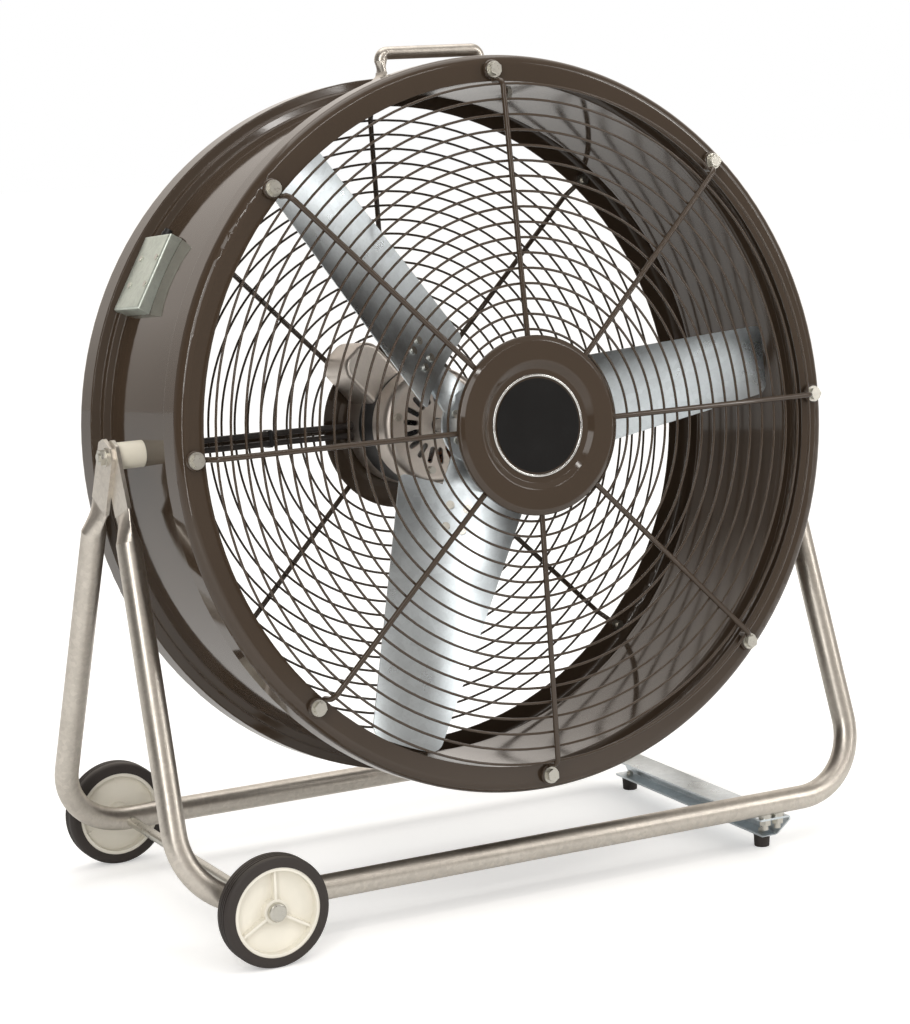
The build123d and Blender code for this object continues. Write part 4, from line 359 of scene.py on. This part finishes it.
def make_finishes():
    """All the fan's materials, from the colours in the settings, with grains and edges in millimetres."""
    colours = bpy.context.scene.fan_finishes
    # Baked enamel on pressed steel: deep brown-black gloss that picks up soft, slightly wavy lights.
    enamel_finish("baked_enamel", colours.enamel, edge_radius=0.8)
    # The same enamel on wire, too thin for a worn edge.
    enamel_finish("wire_enamel", colours.enamel, edge_radius=0.0)
    # Dipped tube: pale warm grey, satin, with small faint crystals.
    zinc_finish("galvanised_tube", colours.tube_zinc, crystal=5.0, contrast=0.07, roughness=0.36,
                edge_radius=0.0)
    # Zinc of the junction box: dulled by weather, pale green-grey.
    zinc_finish("weathered_zinc", linear("#e0e8df"), crystal=6.0, contrast=0.05, roughness=0.46,
                edge_radius=0.6)
    # Rolled galvanised sheet: brighter and bluer, with larger faint crystals.
    zinc_finish("galvanised_sheet", colours.sheet_zinc, crystal=9.0, contrast=0.06, roughness=0.31,
                edge_radius=0.0)
    # Bright zinc plate on bolts: a clean, slightly warm shine.
    metal_finish("zinc_plate", colours.plate_zinc, roughness=0.30, grain=3.0, edge_radius=0.0)
    # Die-cast alloy: pale, dull and faintly grained.
    metal_finish("die_cast_alloy", colours.castings, roughness=0.42, grain=2.4, edge_radius=0.6)
    # Ground steel: the bright shaft and bearings.
    metal_finish("ground_steel", linear("#b5b5b5"), roughness=0.24, grain=1.6, edge_radius=0.0)
    # Enamelled laminations of the motor: near black, satin.
    plastic_finish("stator_enamel", linear("#1a1a1b"), roughness=0.42, grain=1.35, edge_radius=0.4)
    # Enamelled copper wire: warm red-brown, satin.
    metal_finish("copper_winding", linear("#b8683c"), roughness=0.35, grain=1.8, edge_radius=0.0)
    # Label left bare: flat, deep gloss black.
    plastic_finish("bare_label", colours.label, roughness=0.14, grain=9.0, edge_radius=0.3)
    # Chromed bead round the label: a thin bright line.
    metal_finish("chromed_bead", linear("#d7d7d5"), roughness=0.16, grain=4.0, edge_radius=0.0)
    # Rubber of the leads, the grommets and the feet: black, soft sheen.
    plastic_finish("soft_rubber", colours.rubber, roughness=0.52, grain=1.2, edge_radius=0.4, dust=0.25)
    # Tyre rubber: black, matt, greyed by dust.
    plastic_finish("tyre_rubber", colours.rubber, roughness=0.62, grain=1.5, edge_radius=0.4, dust=0.4)
    # Moulded nylon in black: satin.
    plastic_finish("black_moulding", linear("#1d1d1e"), roughness=0.40, grain=1.2, edge_radius=0.3)
    # The same in its natural off-white.
    plastic_finish("natural_nylon", linear("#efe9d8"), roughness=0.42, grain=1.2, edge_radius=0.6)
    # Wheel polypropylene: off-white, satin, lightly soiled.
    plastic_finish("wheel_plastic", colours.hub_plastic, roughness=0.42, grain=1.5, edge_radius=0.6,
                   dust=0.3)


def paint(piece, name):
    """Gives a piece one finish all over."""
    finish = bpy.data.materials[name]
    slots = piece.data.materials
    if len(slots) == 0:
        slots.append(finish)
    for index in range(len(slots)):
        slots[index] = finish


def paint_nodes(names, finish):
    """Gives carried-over CAD nodes their finish."""
    for name in names:
        paint(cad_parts[name], finish)


# ---------------------------------------------------------------- modelling
def deselect():
    """Leaves nothing selected."""
    if bpy.context.object and bpy.context.object.mode != "OBJECT":
        bpy.ops.object.mode_set(mode="OBJECT")
    bpy.ops.object.select_all(action="DESELECT")


def pick(pieces):
    """Selects only those pieces, the first one active."""
    deselect()
    for piece in pieces:
        piece.select_set(True)
    bpy.context.view_layer.objects.active = pieces[0]


def join(pieces, name):
    """Joins pieces into the first one and names it."""
    pick(pieces)
    if len(pieces) > 1:
        bpy.ops.object.join()
    piece = bpy.context.object
    piece.name = name
    piece.data.name = name
    return piece


def place_on_drum(piece):
    """Takes a piece from the drum's own axes to its place, its object left at the origin."""
    pick([piece])
    piece.matrix_world = DRUM @ piece.matrix_world
    bpy.ops.object.transform_apply(location=True, rotation=True, scale=True)


def copy_turned(piece, angle):
    """Copy of a piece, with its own mesh, turned clockwise round the drum's axis."""
    twin = piece.copy()
    twin.data = piece.data.copy()
    bpy.context.scene.collection.objects.link(twin)
    twin.data.transform(Matrix.Rotation(-angle, 4, "Z"))
    return twin


def wire_ring(radius, station, wire, steps):
    """Ring of wire round the drum's axis."""
    bpy.ops.mesh.primitive_torus_add(
        location=(0, 0, station * MM), major_radius=radius * MM, minor_radius=wire / 2,
        major_segments=steps[0], minor_segments=steps[1])
    piece = bpy.context.object
    bpy.ops.object.transform_apply(location=True, rotation=True, scale=True)
    return piece


def bent_rod(points, bends, radius):
    """Round rod pushed out along straight runs and spun round each bend."""
    corners = [Vector(point) * MM for point in points]
    deselect()
    first = (corners[1] - corners[0]).normalized()
    bpy.ops.mesh.primitive_circle_add(
        vertices=SPOKE_SIDES, radius=radius, fill_type="NGON", location=corners[0],
        rotation=first.to_track_quat("Z", "Y").to_euler())
    piece = bpy.context.object
    bpy.ops.object.transform_apply(location=True, rotation=True, scale=True)
    bpy.ops.object.mode_set(mode="EDIT")
    bpy.ops.mesh.select_all(action="SELECT")
    here = corners[0]
    for index in range(1, len(corners)):
        way = (corners[index] - corners[index - 1]).normalized()
        if index == len(corners) - 1:
            bpy.ops.mesh.extrude_region_move(TRANSFORM_OT_translate={"value": corners[index] - here})
            break
        out = (corners[index + 1] - corners[index]).normalized()
        turn = way.angle(out)
        bend = bends[index - 1] * MM
        start = corners[index] - way * bend * math.tan(turn / 2)
        axis = way.cross(out).normalized()
        centre = start + axis.cross(way) * bend
        bpy.ops.mesh.extrude_region_move(TRANSFORM_OT_translate={"value": start - here})
        # The operator counts its angle the other way round from the axis.
        bpy.ops.mesh.spin(steps=BEND_STEPS, angle=-turn, center=centre, axis=axis)
        here = corners[index] + out * bend * math.tan(turn / 2)
    bpy.ops.object.mode_set(mode="OBJECT")
    return piece


def settle(piece):
    """Merges doubles, turns faces outwards and smooths all but the sharp edges."""
    pick([piece])
    bpy.ops.object.mode_set(mode="EDIT")
    bpy.ops.mesh.select_all(action="SELECT")
    bpy.ops.mesh.remove_doubles(threshold=MERGE_DISTANCE * MM)
    bpy.ops.mesh.normals_make_consistent(inside=False)
    bpy.ops.object.mode_set(mode="OBJECT")
    bpy.ops.object.shade_smooth_by_angle(angle=math.radians(SPOKE_SMOOTHING))
    return piece


def front_spoke(radius):
    """Place of the front guard's spokes along the axis at a radius."""
    return FRONT_CROWN - (radius - FRONT_DISC) * (FRONT_CROWN - FRONT_SHOULDER) / (FRONT_FALL - FRONT_DISC)


def rear_spoke(radius):
    """Place of the rear guard's spokes along the axis at a radius."""
    return REAR_CROWN + (radius - REAR_IN) / (REAR_SHOULDER_AT - REAR_IN) * (REAR_SHOULDER - REAR_CROWN)


def weld_beads(radii, station_at, side, spokes):
    """Small weld nugget at each crossing of a ring and a spoke, on the rings' side of the spokes."""
    deselect()
    bpy.ops.mesh.primitive_uv_sphere_add(segments=NUGGET_STEPS[0], ring_count=NUGGET_STEPS[1], radius=1.0)
    nugget = bpy.context.object
    nugget.data.transform(Matrix.Diagonal((*(half * MM for half in NUGGET), 1)))
    pieces = []
    for radius in radii:
        for number in range(spokes):
            bead = nugget.copy()
            bead.data = nugget.data.copy()
            bpy.context.scene.collection.objects.link(bead)
            station = station_at(radius) + side * NUGGET_DROP
            bead.data.transform(Matrix.Translation((0, radius * MM, station * MM)))
            bead.data.transform(Matrix.Rotation(-math.tau * number / spokes, 4, "Z"))
            pieces.append(bead)
    bpy.data.objects.remove(nugget)
    return join(pieces, "weld_beads")


def build_guard(name, count, first_ring, station_at, side, route, bends, eye_station):
    """One guard: rings on one side of spokes that end in eyes, and the welds between them."""
    sizes = bpy.context.scene.fan_sizes
    drop = (sizes.spoke_wire + sizes.ring_wire) / 2 / MM - WELD_DEPTH
    radii = [first_ring + sizes.ring_pitch / MM * number for number in range(count)]
    deselect()
    rings = [wire_ring(radius, station_at(radius) + side * drop, sizes.ring_wire, RING_STEPS)
             for radius in radii]
    spoke = settle(bent_rod([(0, r, a) for r, a in route], bends, sizes.spoke_wire / 2))
    deselect()
    eye = wire_ring(EYE_MIDDLE, eye_station, EYE_WIRE * 2 * MM, EYE_STEPS)
    eye.data.transform(Matrix.Translation((0, BOLT_CIRCLE * MM, 0)))
    arm = join([spoke, eye], name + "_arm")
    arms = [arm] + [copy_turned(arm, math.tau * number / sizes.spokes) for number in range(1, sizes.spokes)]
    beads = weld_beads(radii, station_at, side, sizes.spokes)
    guard = join(rings + arms + [beads], name + "_wires")
    pick([guard])
    bpy.ops.object.shade_smooth_by_angle(angle=math.radians(GUARD_SMOOTHING))
    place_on_drum(guard)
    paint(guard, "wire_enamel")
    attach(guard, "drum")
    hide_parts(name)


# ---------------------------------------------------------------- operators
class FAN_OT_finishes(bpy.types.Operator):
    """Makes the fan's materials"""
    bl_idname = "fan.finishes"
    bl_label = "Make finishes"

    def execute(self, context):
        make_finishes()
        return {"FINISHED"}


class FAN_OT_drum(bpy.types.Operator):
    """Dresses the drum, its discs and its label"""
    bl_idname = "fan.drum"
    bl_label = "Dress drum"

    def execute(self, context):
        paint_nodes(["drum_shell", "front_rim", "rear_rim", "front_disc", "rear_disc"], "baked_enamel")
        paint_nodes(["hub_label"], "bare_label")
        paint_nodes(["label_ring"], "chromed_bead")
        return {"FINISHED"}


class FAN_OT_guards(bpy.types.Operator):
    """Makes the front and rear guards of welded wire"""
    bl_idname = "fan.guards"
    bl_label = "Make guards"

    def execute(self, context):
        sizes = context.scene.fan_sizes
        end = BOLT_CIRCLE - EYE_MIDDLE - EYE_SINK
        front_eye = FRONT_FACE + EYE_WIRE
        rear_eye = REAR_FACE - EYE_WIRE
        front_route = [(FRONT_IN, front_spoke(FRONT_IN)), (FRONT_FALL, FRONT_SHOULDER),
                       (FRONT_FALL, front_eye), (end, front_eye)]
        rear_route = [(REAR_IN, REAR_CROWN), (REAR_SHOULDER_AT, REAR_SHOULDER),
                      (REAR_FALL, rear_eye), (end, rear_eye)]
        build_guard("front_guard", sizes.front_rings, FRONT_FIRST_RING, front_spoke, -1,
                    front_route, FRONT_BENDS, front_eye)
        build_guard("rear_guard", sizes.rear_rings, REAR_FIRST_RING, rear_spoke, 1,
                    rear_route, REAR_BENDS, rear_eye)
        return {"FINISHED"}


class FAN_OT_propeller(bpy.types.Operator):
    """Dresses the blades, the spider and the hub"""
    bl_idname = "fan.propeller"
    bl_label = "Dress propeller"

    def execute(self, context):
        paint_nodes(["blade_1", "blade_2", "blade_3", "spider"], "galvanised_sheet")
        paint_nodes(["blade_rivets", "hub_rivets"], "zinc_plate")
        paint_nodes(["propeller_hub"], "die_cast_alloy")
        paint_nodes(["shaft", "rotor_core", "set_screw"], "ground_steel")
        return {"FINISHED"}


class FAN_OT_motor(bpy.types.Operator):
    """Dresses the motor, its capacitor and its leads"""
    bl_idname = "fan.motor"
    bl_label = "Dress motor"

    def execute(self, context):
        paint_nodes(["motor_front_bell", "motor_rear_bell", "capacitor", "capacitor_cover"], "die_cast_alloy")
        paint_nodes(["motor_stator"], "stator_enamel")
        paint_nodes(["motor_windings"], "copper_winding")
        paint_nodes(["motor_bearings"], "ground_steel")
        paint_nodes(["motor_through_bolts", "motor_mount_screws"], "zinc_plate")
        paint_nodes(["motor_leads", "lead_grommets"], "soft_rubber")
        paint_nodes(["cable_tie", "cord_gland"], "black_moulding")
        return {"FINISHED"}


class FAN_OT_box(bpy.types.Operator):
    """Dresses the junction box and the handle"""
    bl_idname = "fan.box"
    bl_label = "Dress box and handle"

    def execute(self, context):
        paint_nodes(["box_cover"], "weathered_zinc")
        paint_nodes(["handle"], "galvanised_tube")
        paint_nodes(["box_posts", "box_screws", "handle_bolts", "handle_nuts"], "zinc_plate")
        return {"FINISHED"}


class FAN_OT_fasteners(bpy.types.Operator):
    """Dresses the guards' and the trunnions' bolts"""
    bl_idname = "fan.fasteners"
    bl_label = "Dress fasteners"

    def execute(self, context):
        paint_nodes(["guard_bolts", "guard_nuts", "trunnion_bolts",
                     "trunnion_nuts", "trunnion_washers"], "zinc_plate")
        paint_nodes(["trunnion_spacers"], "natural_nylon")
        return {"FINISHED"}


class FAN_OT_stand(bpy.types.Operator):
    """Dresses the stand's tubes, bar and feet"""
    bl_idname = "fan.stand"
    bl_label = "Dress stand"

    def execute(self, context):
        paint_nodes(["front_tube", "rear_tube"], "galvanised_tube")
        paint_nodes(["foot_bar"], "galvanised_sheet")
        paint_nodes(["bar_studs", "bar_spacers", "bar_nuts", "foot_screws", "foot_nuts"], "zinc_plate")
        paint_nodes(["rubber_feet"], "soft_rubber")
        return {"FINISHED"}


class FAN_OT_wheels(bpy.types.Operator):
    """Dresses the wheels, the axle and its caps"""
    bl_idname = "fan.wheels"
    bl_label = "Dress wheels"

    def execute(self, context):
        paint_nodes(["tyre_front", "tyre_rear"], "tyre_rubber")
        paint_nodes(["wheel_hub_front", "wheel_hub_rear"], "wheel_plastic")
        paint_nodes(["axle", "axle_washers", "push_nuts"], "zinc_plate")
        return {"FINISHED"}


def soft_light(place, aim, width, height, power):
    """Soft box that looks at a point."""
    way = Vector(aim) - Vector(place)
    bpy.ops.object.light_add(type="AREA", location=place, rotation=way.to_track_quat("-Z", "Y").to_euler())
    lamp = bpy.context.object
    lamp.data.shape = "RECTANGLE"
    lamp.data.size = width
    lamp.data.size_y = height
    lamp.data.energy = power
    lamp.data.color = WARM_LIGHT


def white_sky():
    """World that is white behind the fan, also in its gloss, and lights it softly from all round."""
    world = bpy.data.worlds.new("white_room")
    bpy.context.scene.world = world
    world.use_nodes = True
    tree = world.node_tree
    tree.nodes.clear()
    ray = add_node(tree, "ShaderNodeLightPath").outputs
    way = add_node(tree, "ShaderNodeTexCoord").outputs["Generated"]
    look = add_node(tree, "ShaderNodeSeparateXYZ", inputs={0: way}).outputs
    # The paper hung behind the fan is white, the room in front is grey and its left side is dark.
    paper = add_node(tree, "ShaderNodeMapRange", inputs={
        "Value": look["Y"], "From Min": PAPER_FROM, "From Max": PAPER_TO,
        "To Min": ROOM_FRONT_LIGHT, "To Max": ROOM_BACK_LIGHT}).outputs[0]
    side = add_node(tree, "ShaderNodeMapRange", inputs={
        "Value": look["X"], "From Min": SIDE_FROM, "From Max": SIDE_TO,
        "To Min": ROOM_SIDE_LIGHT, "To Max": 1.0}).outputs[0]
    shine = add_node(tree, "ShaderNodeMath", {"operation": "MULTIPLY"}, {0: paper, 1: side}).outputs[0]
    room = add_node(tree, "ShaderNodeMix", {"data_type": "FLOAT"}, {
        "Factor": ray["Is Glossy Ray"], "A": ROOM_SOFT_LIGHT, "B": shine}).outputs["Result"]
    tint = add_node(tree, "ShaderNodeMix", {"data_type": "RGBA"}, {
        "Factor": ray["Is Glossy Ray"], "A": shade(WARM_LIGHT), "B": shade(WARM_ROOM),
    }).outputs["Result"]
    # The camera sees plain white, and so does a ray that passes through a piece.
    seen = add_node(tree, "ShaderNodeMath", {"operation": "MAXIMUM"}, {
        0: ray["Is Camera Ray"], 1: ray["Is Transmission Ray"]}).outputs[0]
    strength = add_node(tree, "ShaderNodeMix", {"data_type": "FLOAT"}, {
        "Factor": seen, "A": room, "B": 1.0}).outputs["Result"]
    colour = add_node(tree, "ShaderNodeMix", {"data_type": "RGBA"}, {
        "Factor": seen, "A": tint, "B": (1.0, 1.0, 1.0, 1.0)}).outputs["Result"]
    light = add_node(tree, "ShaderNodeBackground", inputs={"Color": colour, "Strength": strength})
    add_node(tree, "ShaderNodeOutputWorld", inputs={"Surface": light.outputs[0]})


def floor_finish(colour):
    """Matt white paper: it keeps the soft shadow and runs into the white behind it."""
    tree, _ = start_finish("floor_paper")
    ray = add_node(tree, "ShaderNodeLightPath").outputs
    glow = add_node(tree, "ShaderNodeMath", {"operation": "MULTIPLY"}, {
        0: ray["Is Camera Ray"], 1: FLOOR_GLOW}).outputs[0]
    end_finish(tree, {
        "Base Color": shade(colour), "Roughness": FLOOR_ROUGHNESS, "Specular IOR Level": 0.0,
        "Emission Color": (1.0, 1.0, 1.0, 1.0), "Emission Strength": glow})


class FAN_OT_stage(bpy.types.Operator):
    """Sets the floor, the lights, the world and the camera"""
    bl_idname = "fan.stage"
    bl_label = "Set stage"

    def execute(self, context):
        deselect()
        floor_finish(context.scene.fan_finishes.floor)
        bpy.ops.mesh.primitive_plane_add(size=FLOOR_SIZE, location=(0, 0, 0))
        floor = context.object
        floor.name = "floor"
        paint(floor, "floor_paper")
        white_sky()
        for settings in SOFT_LIGHTS:
            soft_light(*settings)
        turn = Matrix((CAMERA_RIGHT, CAMERA_UP, CAMERA_BACK)).transposed()
        bpy.ops.object.camera_add(location=CAMERA_PLACE, rotation=turn.to_euler())
        camera = context.object
        camera.data.sensor_fit = "VERTICAL"
        camera.data.sensor_height = CAMERA_SENSOR
        camera.data.lens = CAMERA_LENS
        camera.data.clip_end = CAMERA_REACH
        context.scene.camera = camera
        context.scene.view_settings.view_transform = "Standard"
        return {"FINISHED"}


class FAN_PT_panel(bpy.types.Panel):
    """Lists the fan's settings and steps"""
    bl_idname = "FAN_PT_panel"
    bl_label = "Drum Fan"
    bl_space_type = "VIEW_3D"
    bl_region_type = "UI"
    bl_category = "Drum Fan"

    def draw(self, context):
        for group in (context.scene.fan_sizes, context.scene.fan_finishes):
            for name in group.__annotations__:
                self.layout.prop(group, name)
        for step in STEPS:
            self.layout.operator(step.bl_idname)


STEPS = (FAN_OT_finishes, FAN_OT_drum, FAN_OT_guards, FAN_OT_propeller, FAN_OT_motor, FAN_OT_box,
         FAN_OT_fasteners, FAN_OT_stand, FAN_OT_wheels, FAN_OT_stage)
CLASSES = (FanSizes, FanFinishes, *STEPS, FAN_PT_panel)


def register():
    """Adds the fan's settings, steps and panel."""
    for item in CLASSES:
        bpy.utils.register_class(item)
    bpy.types.Scene.fan_sizes = bpy.props.PointerProperty(type=FanSizes)
    bpy.types.Scene.fan_finishes = bpy.props.PointerProperty(type=FanFinishes)


def unregister():
    """Removes the fan's settings, steps and panel."""
    del bpy.types.Scene.fan_finishes
    del bpy.types.Scene.fan_sizes
    for item in reversed(CLASSES):
        bpy.utils.unregister_class(item)


def main():
    """Makes the whole fan."""
    register()
    for step in STEPS:
        group, name = step.bl_idname.split(".")
        getattr(getattr(bpy.ops, group), name)()


if __name__ == "__main__":
    main()
